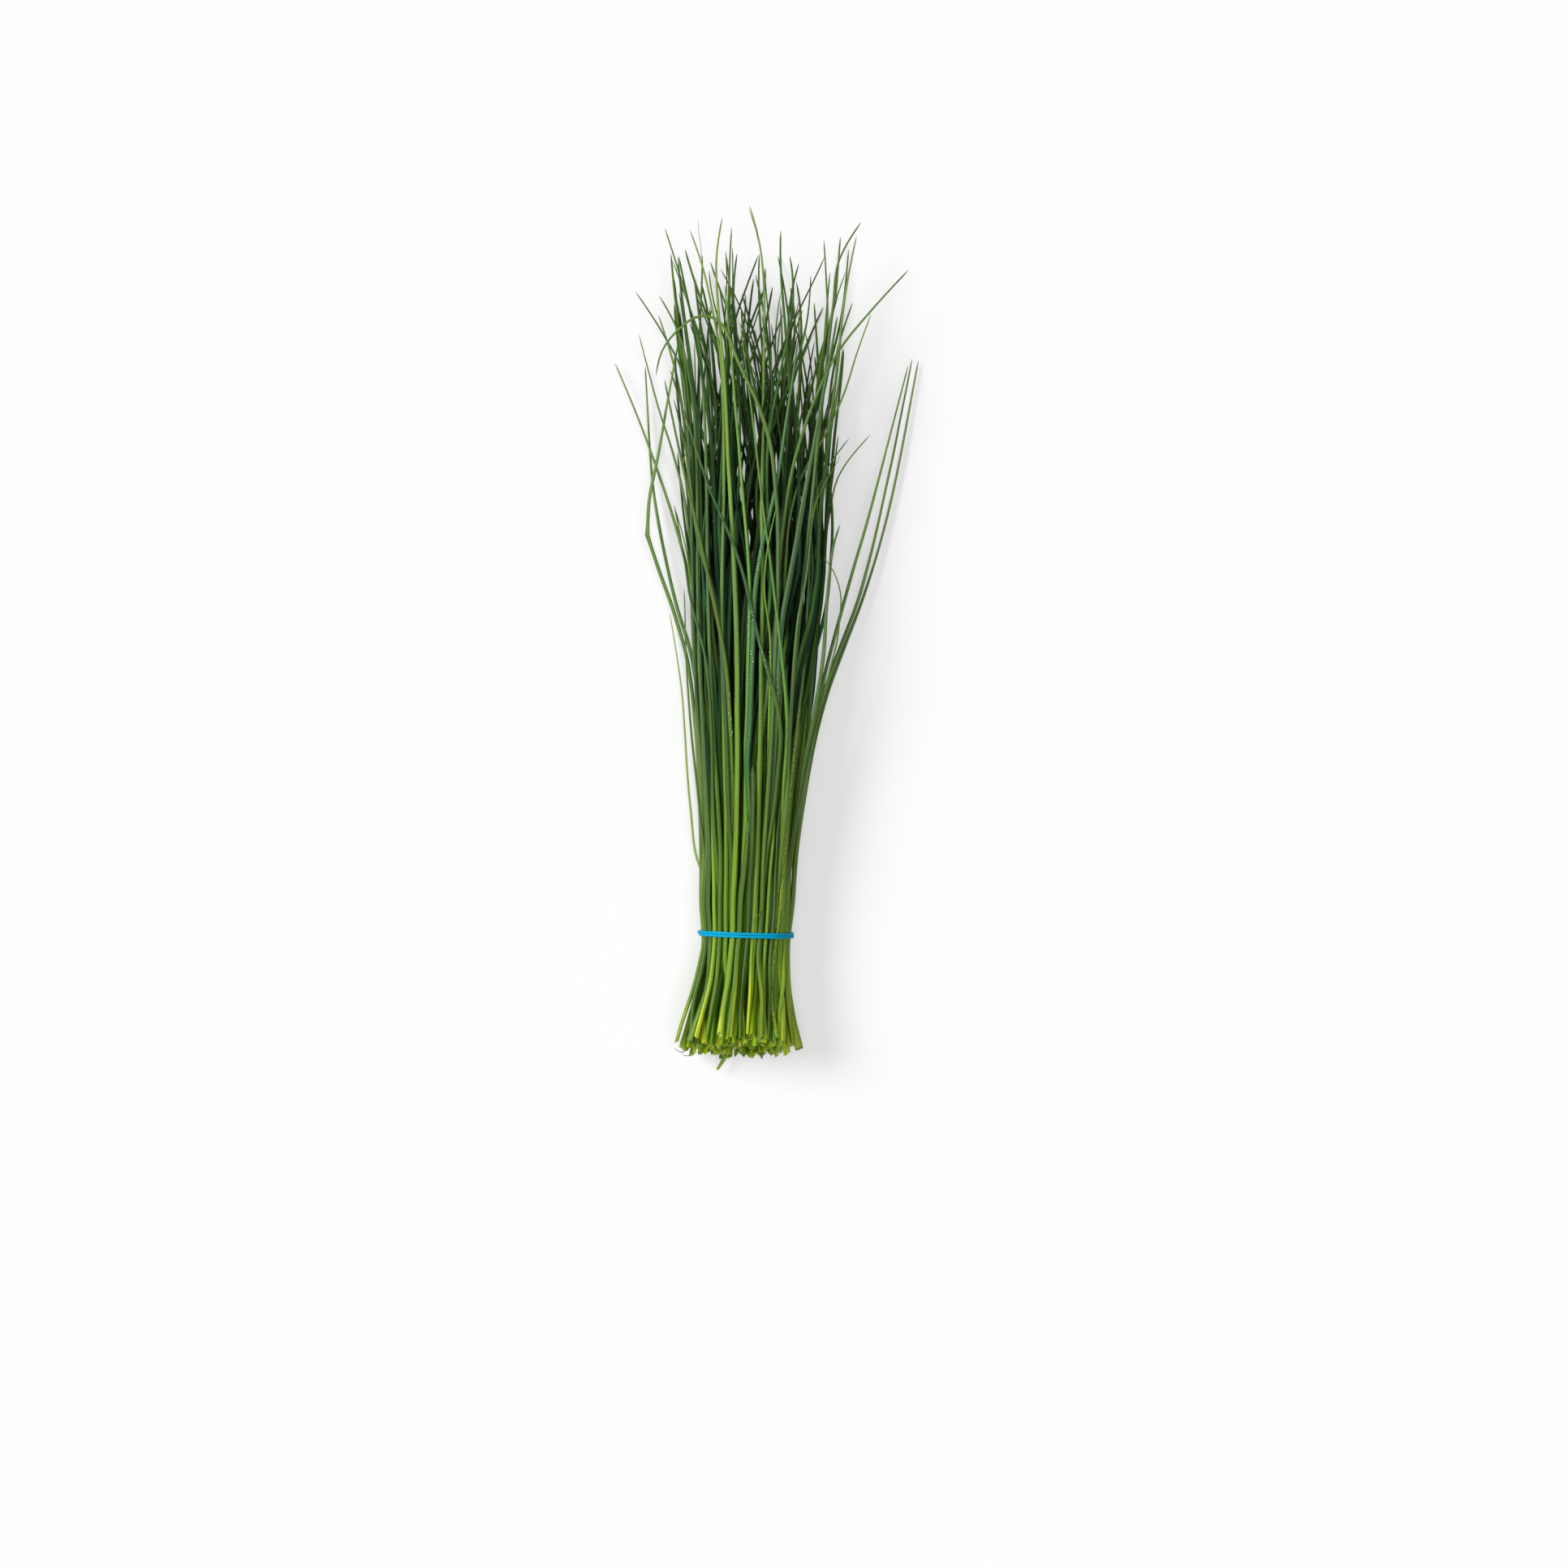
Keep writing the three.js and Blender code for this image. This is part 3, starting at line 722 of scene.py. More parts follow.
@dataclass
class LeafCharacter:
    """What sets one leaf apart from the others, mostly as shares from 0 to 1."""

    warmth: float  # from bluish green to yellowish green
    light: float  # its lightness, about -1 to 1
    withered: float
    tip_withered: float
    oval: float  # how far from round its section is
    crush: float  # how far its cut end is pressed flat
    wall: float  # its wall, slant and groove as shares of its radius
    slant: float
    groove: float
    shade: float  # painted shade: how much darker and cooler its colour is made above the band, for the shade of the leaves over it
    seed: int  # where its own chance starts

    @classmethod
    def draw(cls, rng: Rng, freshness: Freshness, layer: Layer) -> "LeafCharacter":
        """Draws a leaf's character by chance.

        Args:
            rng: the source of chance.
            freshness: how the leaf has kept.
            layer: where it lies.

        Returns:
            The character.
        """
        pale = freshness is Freshness.PALE
        return cls(
            warmth=float(np.clip(rng.beta(1.0, 1.15) + 0.4 * pale, 0, 1)),
            light=float(np.clip(rng.normal(0, 0.65 - 0.22 * layer.value) + 0.4 * pale, -1.2, 0.95)),
            withered=rng.uniform(0.15, 0.3) if pale else 0.35 * rng.uniform(0, 1) ** 8,
            tip_withered=rng.uniform(0, 1) ** 3,
            oval=0.03 + 0.2 * rng.uniform(0, 1) ** 2,
            crush=0.65 * rng.uniform(0, 1),
            wall=rng.uniform(0.28, 0.5),
            slant=rng.uniform(0.1, 0.9),
            groove=0.24 * rng.uniform(0, 1),
            # painted shade, more for leaves further in
            shade=2.3 * layer.value,
            seed=int(rng.integers(1 << 30)),
        )


@dataclass
class Leaf:
    """One hollow chive leaf."""

    line: LeafLine
    character: LeafCharacter
    sides: int = 14
    spacing: float = 2.6  # between its rows
    hollow: float = 7.0  # how deep its cut end is open
    point_length: float = 3.0  # the length over which its tip is rounded off
    even_from: float = 3.6  # how far from its cut end the evenly spaced rows start
    fold_gap: float = 1.8  # how far from its fold they stop
    # How much it is flattened and over what reach, by the rubber band and at its fold, and the least and
    # the most of both for a pinch.
    squeeze: Pair = (0.08, 6)
    folding: Pair = (0.45, 2)
    pinch: Pair = (0.05, 0.2)
    pinch_reach: Pair = (3, 12)
    flattest: float = 0.6
    crush_length: float = 6.0  # the length over which the crush of its cut end dies away
    cut_length: float = 1.6  # and the shape of its cut
    wander: float = 0.035  # how far its middle wanders, in waves of these lengths
    wander_waves: Pair = (25, 80)
    steady: float = 30.0  # how far from its cut end it wanders in full
    groove_width: float = 0.55
    dry_tip: Pair = (4, 26)  # how long its dry tip is, and how much longer that can be
    shaded_at: float = 11.0  # how far from its cut end its painted shade is full
    painted_shade_eased_at: Pair = (180, 240)  # and where that painted shade is halved again, out towards the tip
    scatter: float = 100.0  # how far apart leaves lie on the patterns

    def __post_init__(self) -> None:
        """Starts the leaf's own chance, and places its rows and the angles round it."""
        self.rng = np.random.default_rng(self.character.seed)
        self.at, self.share, self.inside = self.profile()
        self.angle = np.arange(self.sides) * TURN / self.sides

    def profile(self) -> tuple[Array, Array, Array]:
        """Gives the leaf's rows, from the bottom of its hollow, out over the rim, and up to its tip.

        Returns:
            Each row's length from the cut end, its share of the leaf's radius, and how far it is inside,
            which is 1 in the hollow, less over the rim and 0 outside.
        """
        bore = 1 - self.character.wall
        hollow_at = np.array([1.0, 1.0, 0.7, 0.4, 0.15, 0.05]) * self.hollow
        hollow_share = np.array([0.3, 0.75, 0.9, 0.97, 1.0, 1.0]) * bore
        rim_share = [bore, bore + 0.3 * (1 - bore), bore + 0.75 * (1 - bore), 1.0]
        start, end = self.even_from, self.line.length - self.point_length
        skin_at = np.linspace(start, end, int((end - start) / self.spacing) + 1)
        if self.line.fold is not None:
            fold_at = self.line.lengths[self.line.fold]
            skin_at = skin_at[np.abs(skin_at - fold_at) > self.fold_gap]
            skin_at = np.sort([*skin_at, *(fold_at + np.array([-1.2, -0.5, 0.0, 0.5, 1.2]))])
        skin_at = np.concatenate([[0.5, 1.2, 2.2], skin_at])
        # The tip is rounded off: its radius falls as the square root of the way left.
        tip_way = np.array([0.35, 0.65, 0.85, 0.96])
        at = np.concatenate([hollow_at, [0.08, 0.0, 0.0, 0.1], skin_at, end + self.point_length * tip_way])
        share = np.concatenate([hollow_share, rim_share, np.ones(len(skin_at)), np.sqrt(1 - tip_way)])
        inside = np.zeros(len(at))
        inside[:10] = [1, 1, 1, 1, 1, 1, 1, 1, 0.75, 0.15]
        return at, share, inside

    def flatness(self, y: Array) -> Array:
        """Gives how far from round the leaf is along its length.

        It is the sum of its own oval, the crush at its cut end, the squeeze of the rubber band, a few
        pinches, and its fold.

        Args:
            y: the rows' places along the bunch.

        Returns:
            The flatness of each row, from 0 to 0.6.
        """
        own, rng = self.character, self.rng
        flat = own.oval + own.crush * np.exp(-self.at / self.crush_length)
        flat = flat + self.squeeze[0] * hump(y, 0, self.squeeze[1])
        for _ in range(rng.integers(1, 4)):
            middle = self.line.length * rng.uniform(0.12, 1)
            flat = flat + rng.uniform(*self.pinch) * hump(self.at, middle, rng.uniform(*self.pinch_reach))
        if self.line.fold is not None:
            fold_at = self.line.lengths[self.line.fold]
            flat = flat + self.folding[0] * hump(self.at, fold_at, self.folding[1])
        return np.minimum(flat, self.flattest)

    def cut_edge(self) -> Array:
        """Shapes the cut end: an oblique cut, a ragged edge, and at times a split and a tongue.

        Returns:
            How far the cut end reaches beyond an even one at each angle, in radii.
        """
        rng, angle = self.rng, self.angle
        edge = self.character.slant * np.cos(angle - rng.uniform(0, 6)) + rng.normal(0, 0.13, self.sides)
        apart = np.abs(wrapped(angle[:, None] - rng.uniform(0, TURN, 2)))
        depth = rng.uniform(0, 1, 2) ** 2 * np.array([1.2, -0.8])
        return edge + (depth * np.clip(1 - apart / 0.7, 0, None)).sum(axis=1)

    def surface(self) -> Surface:
        """Works out the leaf's surface.

        A point is the line's middle, plus the radius times (1 plus flatness times the cosine of twice the
        angle from the flattening, less a groove) along the angle's direction, plus the shape of the cut
        end, which dies away along the leaf, and a slow wander of the middle, a sum of sine waves.

        Returns:
            The surface.
        """
        at, angle, rng = self.at, self.angle, self.rng
        middle, along, across, up, radius = self.line.at(at)
        for direction in (across, up):
            wavelength, phase = rng.uniform(*self.wander_waves, 3), rng.uniform(0, TURN, 3)
            wander = np.sin(at[:, None] * TURN / wavelength + phase).sum(axis=1)
            middle = middle + direction * (self.wander * wander * smooth_step(at, 0, self.steady))[:, None]
        flat = self.flatness(middle[:, 1])
        turn = rng.uniform(0, math.pi) + rng.uniform(-1, 1) * at / 120
        turn = turn + 0.4 * np.sin(at / rng.uniform(20, 50))
        ridge = rng.uniform(0.01, 0.035) * np.cos(3 * angle + rng.uniform(0, 6))
        from_groove = wrapped(angle - turn[:, None] - rng.uniform(0, TURN))
        depth = np.clip(np.sin(at / rng.uniform(15, 40) + rng.uniform(0, 6)), 0, None)
        depth = (self.character.groove * depth)[:, None]
        swell = 1 + flat[:, None] * np.cos(2 * (angle - turn[:, None])) + ridge
        out = (radius * self.share)[:, None] * (swell - depth * hump(from_groove, 0, self.groove_width))
        shift = radius[:, None] * self.cut_edge() * np.exp(-at / self.cut_length)[:, None]
        outward = np.cos(angle)[:, None] * across[:, None] + np.sin(angle)[:, None] * up[:, None]
        places = middle[:, None] + out[..., None] * outward + shift[..., None] * along[:, None]
        places = np.concatenate([places.reshape(-1, 3), [middle[0], self.line.course[-1]]])
        lathe = Lathe(len(at), self.sides)
        steps = np.abs(np.diff(at)) + np.abs(np.diff(radius * self.share))
        path = np.cumsum([0, radius[0] * self.share[0], *steps, 1.0])
        layout = lathe.layout(path, TURN * float(radius.mean()))
        return Surface(places, lathe.corners, lathe.counts, layout, self.marks())

    def marks(self) -> dict[str, Array]:
        """Gives what the finish reads at each vertex, the poles last.

        Returns:
            skin, a place on a pattern that wraps round the leaf (cosine and sine, both shifted by chance,
            and length in centimetres); place, the length in tenths of a metre, how far inside and how near
            the tip; and tone, the leaf's warmth and lightness, both lowered by its painted shade, and its
            dryness.
        """
        own, length = self.character, self.line.length
        at = np.concatenate([np.repeat(self.at, self.sides), [self.at[0], length]])
        inside = np.concatenate([np.repeat(self.inside, self.sides), [1, 0]])
        angle = np.concatenate([np.tile(self.angle, len(self.at)), [0, 0]])
        dry_tip = smooth_step(at, length - self.dry_tip[0] - self.dry_tip[1] * own.tip_withered, length)
        # Painted shade: the colour gets darker and cooler from the cut end on, and only half as much near
        # the tip.
        shaded = own.shade * smooth_step(at, 0, self.shaded_at) * (1 - 0.5 * smooth_step(at, *self.painted_shade_eased_at))
        offset = self.rng.uniform(0, self.scatter, 2)
        marks = {
            "skin": (np.cos(angle) + offset[0], np.sin(angle) + offset[1], at / 10),
            "place": (at / 100, inside, (0.3 + 0.7 * own.tip_withered) * dry_tip),
            "tone": (own.warmth * (1 - 0.25 * shaded), own.light - shaded, np.full(len(at), own.withered)),
        }
        return {name: np.stack(parts, axis=1) for name, parts in marks.items()}


@dataclass
class Scraps:
    """Torn bits that cling to the bunch: a stub between the cut ends, and thin dry threads."""

    sides: int = 6
    tip_share: float = 0.38
    taper: float = 1.6
    warmth: float = 0.45
    stub: Course = (0.75, ((-4.6, -35, 6), (-7, -41, 5), (-8.8, -44.2, 4.4), (-10.1, -46.2, 4)))
    threads: tuple[Course, ...] = (
        (0.12, ((-20.3, -39.3, 7.3), (-21.2, -39.9, 7.4), (-22.2, -39.9, 7.8), (-23.2, -39.3, 8.2),
            (-24.3, -38.4, 8.6))),
        (0.12, ((-17.2, -40.2, 7.6), (-18, -40.9, 7.6), (-19.3, -41.2, 7.4), (-20.6, -41.1, 7.4),
            (-21.8, -40.6, 7.6))),
        (0.14, ((4.9, 8.6, 23.8), (4.3, 7, 24.2), (3.3, 5.6, 24.4), (1.9, 4.1, 24.4), (1.2, 3.5, 24.3))),
        (0.16, ((-16.2, 224, 17), (-16.6, 229, 17.4), (-17.2, 233, 17.6), (-17.4, 237, 17.2))),
        (0.18, ((2.5, 230, 18), (1.9, 233, 18.2), (0.6, 237, 18.4), (-0.5, 240.5, 18))),
        (0.22, ((24, 138, 23), (26, 145, 23.8), (28.6, 150, 24.3), (31, 154, 24), (33, 158, 23.2))),
        (0.2, ((-22.6, 153, 23), (-22.2, 156, 23.4), (-21.4, 159, 23.6), (-21.6, 162, 23.2))),
    )

    def clinging(self, course: Course, lines: Lines) -> Course:
        """Moves a thread so that it starts in the skin of the leaf that is nearest to its first place.

        Args:
            course: the thread's radius and places.
            lines: every leaf's line.

        Returns:
            The moved course.
        """
        points = np.array(course[1], float)
        leaf = min(lines, key=lambda line: np.linalg.norm(line.course - points[0], axis=1).min())
        row = int(np.argmin(np.linalg.norm(leaf.course - points[0], axis=1)))
        away = points[0] - leaf.course[row]
        return course[0], points - away * (1 - leaf.thickness[row] / np.linalg.norm(away))

    def scrap(self, course: Course, rng: Rng, withered: float, light: float) -> Surface:
        """Works out a scrap's surface, which is that of a very short or thin leaf.

        Args:
            course: its radius and places.
            rng: the source of chance.
            withered: how dry it is.
            light: its lightness.

        Returns:
            The surface.
        """
        own = LeafCharacter.draw(rng, Freshness.FRESH, Layer.OUTSIDE)
        own = replace(own, withered=withered, tip_withered=0.0, warmth=self.warmth, light=light)
        line = LeafLine.tapered("scrap", course, self.tip_share, self.taper)
        return Leaf(line, own, self.sides, spacing=0.8, hollow=0.4, point_length=0.6).surface()

    def build(self, lines: Lines, rng: Rng, skin: Material) -> list[Piece]:
        """Makes the stub, and all the threads as one piece.

        Args:
            lines: every leaf's line.
            rng: the source of chance.
            skin: what they wear.

        Returns:
            The two pieces.
        """
        stub = self.scrap(self.stub, rng, 0.0, -0.3)
        threads = [self.scrap(self.clinging(course, lines), rng, 0.15, -1.0) for course in self.threads]
        stub_piece = stub.piece("torn_stub", skin, Freshness.FRESH.value)
        return [stub_piece, Surface.joined(threads).piece("dry_threads", skin, Freshness.PALE.value)]


@dataclass
class Dew:
    """Tiny beads of water in rows on some leaves."""

    sides: int = 8
    rings: int = 3
    sizes: Pair = (0.1, 0.27)  # the smallest and largest bead's radius
    height: float = 0.75  # a bead's height and length as shares of its radius
    length: float = 1.2
    scatter: float = 20.0  # how far it strays round the leaf, in degrees
    # Each row's leaf, how far from the cut end it starts, its length, how many beads it has, and how far
    # round the leaf from its top it lies, in degrees.
    rows: tuple[tuple[str, float, float, int, float], ...] = (
        ("crossing_leaf_1", 126, 9, 12, 10),
        ("crossing_leaf_1", 142, 4, 5, -20),
        ("crossing_leaf_2", 104, 16, 18, 15),
        ("crossing_leaf_3", 118, 12, 12, -15),
        ("crossing_leaf_3", 156, 7, 7, 10),
        ("crossing_leaf_4", 112, 12, 12, 20),
        ("crossing_leaf_6", 130, 14, 14, 0),
        ("crossing_leaf_7", 122, 10, 9, -10),
        ("stray_leaf_21", 60, 10, 9, 10),
        ("stray_leaf_04", 96, 14, 12, 25),
        ("stray_leaf_07", 74, 10, 8, 0),
    )

    def build(self, lines: Lines, rng: Rng) -> Piece:
        """Makes all the beads as one piece.

        A bead is a flattened ball that is half sunk in the skin. Its rings lie at even angles from its top,
        and each has the sine of that angle as its radius and the cosine as its height.

        Args:
            lines: every leaf's line.
            rng: the source of chance.

        Returns:
            The piece.
        """
        known = {line.name: line for line in lines}
        polar = np.linspace(0, math.pi, self.rings + 2)[1:-1]
        around = np.arange(self.sides) * TURN / self.sides
        lathe = Lathe(self.rings, self.sides)
        down = (lathe.corner_rows + 1) / (self.rings + 1)
        layout = np.stack([lathe.corner_sides / self.sides, down], axis=1)
        rim = [np.outer(np.sin(polar), f(around)).ravel() for f in (np.cos, np.sin)]
        ball = np.column_stack([*rim, np.repeat(-np.cos(polar), self.sides)])
        ball = np.concatenate([ball, [[0, 0, -1], [0, 0, 1]]])
        beads = []
        for name, start, length, count, off in self.rows:
            at = start + length * (np.arange(count) + rng.uniform(-0.3, 0.3, count)) / count
            middle, along, across, up, radius = known[name].at(at)
            angle = np.radians(off + rng.normal(0, self.scatter, count))[:, None]
            outward = up * np.cos(angle) + across * np.sin(angle)
            size = self.sizes[0] + (self.sizes[1] - self.sizes[0]) * rng.uniform(0, 1, count) ** 2
            axes = np.stack([np.cross(outward, along), along * self.length, outward * self.height], axis=1)
            places = (middle + outward * radius[:, None])[:, None] + ball @ (axes * size[:, None, None])
            beads += [Surface(bead, lathe.corners, lathe.counts, layout) for bead in places]
        return Surface.joined(beads).piece("dew_beads", DewFinish().material(), Freshness.FRESH.value)


@dataclass
class RubberBand:
    """The rubber band: one closed strand wound round the bunch twice, its turns side by side."""

    strand_wide: float = 0.92
    strand_thick: float = 0.95
    crossing: float = math.radians(205)  # where the turns change places, seen from the cut ends
    crossing_reach: float = math.radians(26)  # half the angle that they need for it
    lean: float = 0.45  # how much lower the band lies at the bunch's right edge than at its middle
    half_width: float = 15.0  # from the bunch's middle to that edge
    lower: float = 0.25  # how much lower its middle lies than the frame's
    climb: Pair = (0.95, 0.62)  # how many strands it climbs at the crossing, over what share of that reach
    waves: float = 26  # about how many waves its line can make on its way round
    roundness: float = 0.6  # the power that flattens its section's sides
    directions: int = 720  # how many the hug line is worked out for
    steps: int = 420
    sides: int = 14
    strips: int = 8  # on its flat map

    def hug(self, lines: Lines) -> tuple[Array, Array, Array]:
        """Gives the line that a stretched band takes round the leaves at the band.

        It is the hull of the leaves' round sections: for each direction, its distance is the greatest of the
        leaves' middles along it plus their radii, smoothed a little because the band is thick.

        Args:
            lines: every leaf's line.

        Returns:
            The directions' angles, and the line's places across and up.
        """
        near = []
        for line in lines:
            if line.course[0, 1] < 0 < line.course[-1, 1]:
                row = int(np.argmin(np.abs(line.course[:, 1])))
                near.append((*line.course[row, [0, 2]], line.thickness[row]))
        x, z, r = np.array(near).T
        angle = np.linspace(0, TURN, self.directions, endpoint=False)
        toward = np.stack([np.cos(angle), np.sin(angle)])
        reach = (x[:, None] * toward[0] + z[:, None] * toward[1] + r[:, None]).max(axis=0)
        waves = np.fft.rfft(reach)
        waves *= np.exp(-((np.arange(len(waves)) / self.waves) ** 2))
        reach = np.fft.irfft(waves, len(angle))
        slope = np.gradient(np.pad(reach, 2, mode="wrap"), angle[1])[2:-2]
        return angle, reach * toward[0] - slope * toward[1], reach * toward[1] + slope * toward[0]

    def path(self, way: Array, lines: Lines) -> tuple[Array, Array]:
        """Carries the strand twice round the hug line.

        It lies to one side for the first turn and to the other for the second. It changes sides at the
        crossing, where one turn climbs over the other.

        Args:
            way: how far round the strand each step is, from 0 to two turns.
            lines: every leaf's line.

        Returns:
            The middle of the strand at each step, and the direction out from the bunch.
        """
        turn = (self.crossing + way) % TURN
        angle, line_x, line_z = self.hug(lines)
        x, z = (np.interp(turn, angle, part, period=TURN) for part in (line_x, line_z))
        out = np.stack([np.cos(turn), np.zeros_like(turn), np.sin(turn)], axis=1)
        reach = self.crossing_reach
        from_start = (way + TURN) % (2 * TURN) - TURN
        there, back = smooth_step(from_start, -reach, reach), smooth_step(way - TURN, -reach, reach)
        side = np.where(np.abs(from_start) < math.pi, 2 * there - 1, 1 - 2 * back)
        y = side * self.strand_wide * 0.5 - self.lean * x / self.half_width - self.lower
        high, share = self.climb
        lift = self.strand_thick * (0.5 + high * hump(way, TURN, reach * share))
        return np.stack([x, y, z], axis=1) + out * lift[:, None], out

    def build(self, lines: Lines) -> Piece:
        """Makes the band: a rounded square section carried along the strand's path.

        The section is a circle's x and y, each raised to a low power, which gives flat faces with rounded
        edges, and its size wavers a little along the way.

        Args:
            lines: every leaf's line.

        Returns:
            The piece.
        """
        way = np.arange(self.steps) * 2 * TURN / self.steps
        middle, out = self.path(way, lines)
        across = unit(np.cross(unit(np.roll(middle, -1, axis=0) - np.roll(middle, 1, axis=0)), out))
        around = np.arange(self.sides) * TURN / self.sides
        rim = (np.cos(around), np.sin(around))
        uneven = 1 + 0.03 * np.sin(way * 7)[:, None] + 0.02 * np.sin(way * 17 + 1)[:, None]
        wide, thick = (
            (np.sign(part) * np.abs(part) ** self.roundness * uneven * size / 2)[..., None]
            for part, size in zip(rim, (self.strand_wide, self.strand_thick))
        )
        places = middle[:, None] + wide * across[:, None] + thick * out[:, None]
        rows, sides = walls(self.steps, self.sides)
        corners = (rows % self.steps) * self.sides + sides % self.sides
        counts = np.full(self.steps * self.sides, 4)
        strip = np.repeat(rows[::4] * self.strips // self.steps, 4)
        u = (strip + 0.05 + 0.9 * sides / self.sides) / self.strips
        v = 0.01 + 0.96 * (rows * self.strips / self.steps - strip)
        skin = [*(np.tile(part, self.steps) for part in rim), np.repeat(way * self.half_width, self.sides)]
        marks = {"skin": np.stack(skin, axis=1)}
        surface = Surface(places.reshape(-1, 3), corners, counts, np.stack([u, v], axis=1), marks)
        return surface.piece("blue_rubber_band", RubberFinish().material(), "rubber_band", "rubber_band")


# ---- Finishes ----


class Shader:
    """The nodes of a material or of the sky, with short ways to add and join them."""

    def __init__(self, owner: Material | bpy.types.World) -> None:
        """Starts with an empty tree.

        Args:
            owner: the material or the sky.
        """
        owner.use_nodes = True
        self.owner, self.tree = owner, owner.node_tree
        self.tree.nodes.clear()

    def node(self, kind: str, inputs: dict | None = None, **settings: object) -> bpy.types.Node:
        """Adds a node.

        Args:
            kind: the node's type, without the ShaderNode that all of them start with.
            inputs: values, three-part colours or sockets for its inputs, by name or number.
            settings: the node's own settings.

        Returns:
            The new node.
        """
        made = self.tree.nodes.new("ShaderNode" + kind)
        for key, value in settings.items():
            setattr(made, key, value)
        for key, value in (inputs or {}).items():
            socket = made.inputs[key]
            if isinstance(value, Socket):
                self.tree.links.new(value, socket)
            else:
                socket.default_value = (*value, 1.0) if socket.type == "RGBA" else value
        return made

    def math(self, operation: str, result: object, *others: object) -> Socket:
        """Works each value after the first into the result so far, with a Math node.

        Args:
            operation: what the nodes do.
            result: the first value.
            others: the other values.

        Returns:
            The last result.
        """
        for value in others:
            result = self.node("Math", {0: result, 1: value}, operation=operation).outputs[0]
        return result

    def times(self, *values: object) -> Socket:
        """Multiplies values and gives the result."""
        return self.math("MULTIPLY", *values)

    def plus(self, *values: object) -> Socket:
        """Adds values up and gives the result."""
        return self.math("ADD", *values)

    def spread(self, value: Socket, low: float, high: float, start: float = 0, end: float = 1) -> Socket:
        """Maps low to start and high to end, smoothly, and gives the result."""
        inputs = {"Value": value, "From Min": low, "From Max": high, "To Min": start, "To Max": end}
        return self.node("MapRange", inputs, interpolation_type="SMOOTHSTEP").outputs["Result"]

    def mix(self, factor: Socket, first: object, second: object) -> Socket:
        """Mixes two colours and gives the result."""
        return self.node("Mix", {0: factor, 6: first, 7: second}, data_type="RGBA").outputs[2]

    def attribute(self, name: str) -> list[Socket]:
        """Gives an attribute's three numbers, and then the attribute whole."""
        whole = self.node("Attribute", attribute_name=name, attribute_type="GEOMETRY").outputs["Vector"]
        return [*self.node("SeparateXYZ", {0: whole}).outputs, whole]

    def noise(self, at: Socket, stretch: tuple[float, ...], detail: float = 2, scale: float = 1) -> Socket:
        """Adds noise on places that are first stretched, and gives its value, from 0 to 1."""
        placed = self.node("VectorMath", {0: at, 1: stretch}, operation="MULTIPLY").outputs[0]
        return self.node("TexNoise", {"Vector": placed, "Scale": scale, "Detail": detail}).outputs[0]

    def ramp(self, value: Socket, places: tuple[float, ...], colors: tuple[Color, ...]) -> Socket:
        """Adds a colour ramp and gives its colour.

        Args:
            value: where on the ramp.
            places: where its colours lie.
            colors: the colours.

        Returns:
            The ramp's colour.
        """
        made = self.node("ValToRGB", {0: value})
        elements = made.color_ramp.elements
        while len(elements) < len(places):
            elements.new(0.5)
        for element, place, color in zip(elements, places, colors):
            element.position, element.color = place, (*color, 1.0)
        return made.outputs[0]

    def bump(self, height: Socket, distance: float, strength: float) -> Socket:
        """Adds a Bump node and gives its normal."""
        return self.node("Bump", {"Height": height, "Distance": distance, "Strength": strength}).outputs[0]

    def finish(self, inputs: dict, kind: str = "BsdfPrincipled", end: str = "OutputMaterial") -> Material:
        """Adds the last shader, joins it to a new output, and gives the material or the sky."""
        self.node(end, {0: self.node(kind, inputs).outputs[0]})
        return self.owner


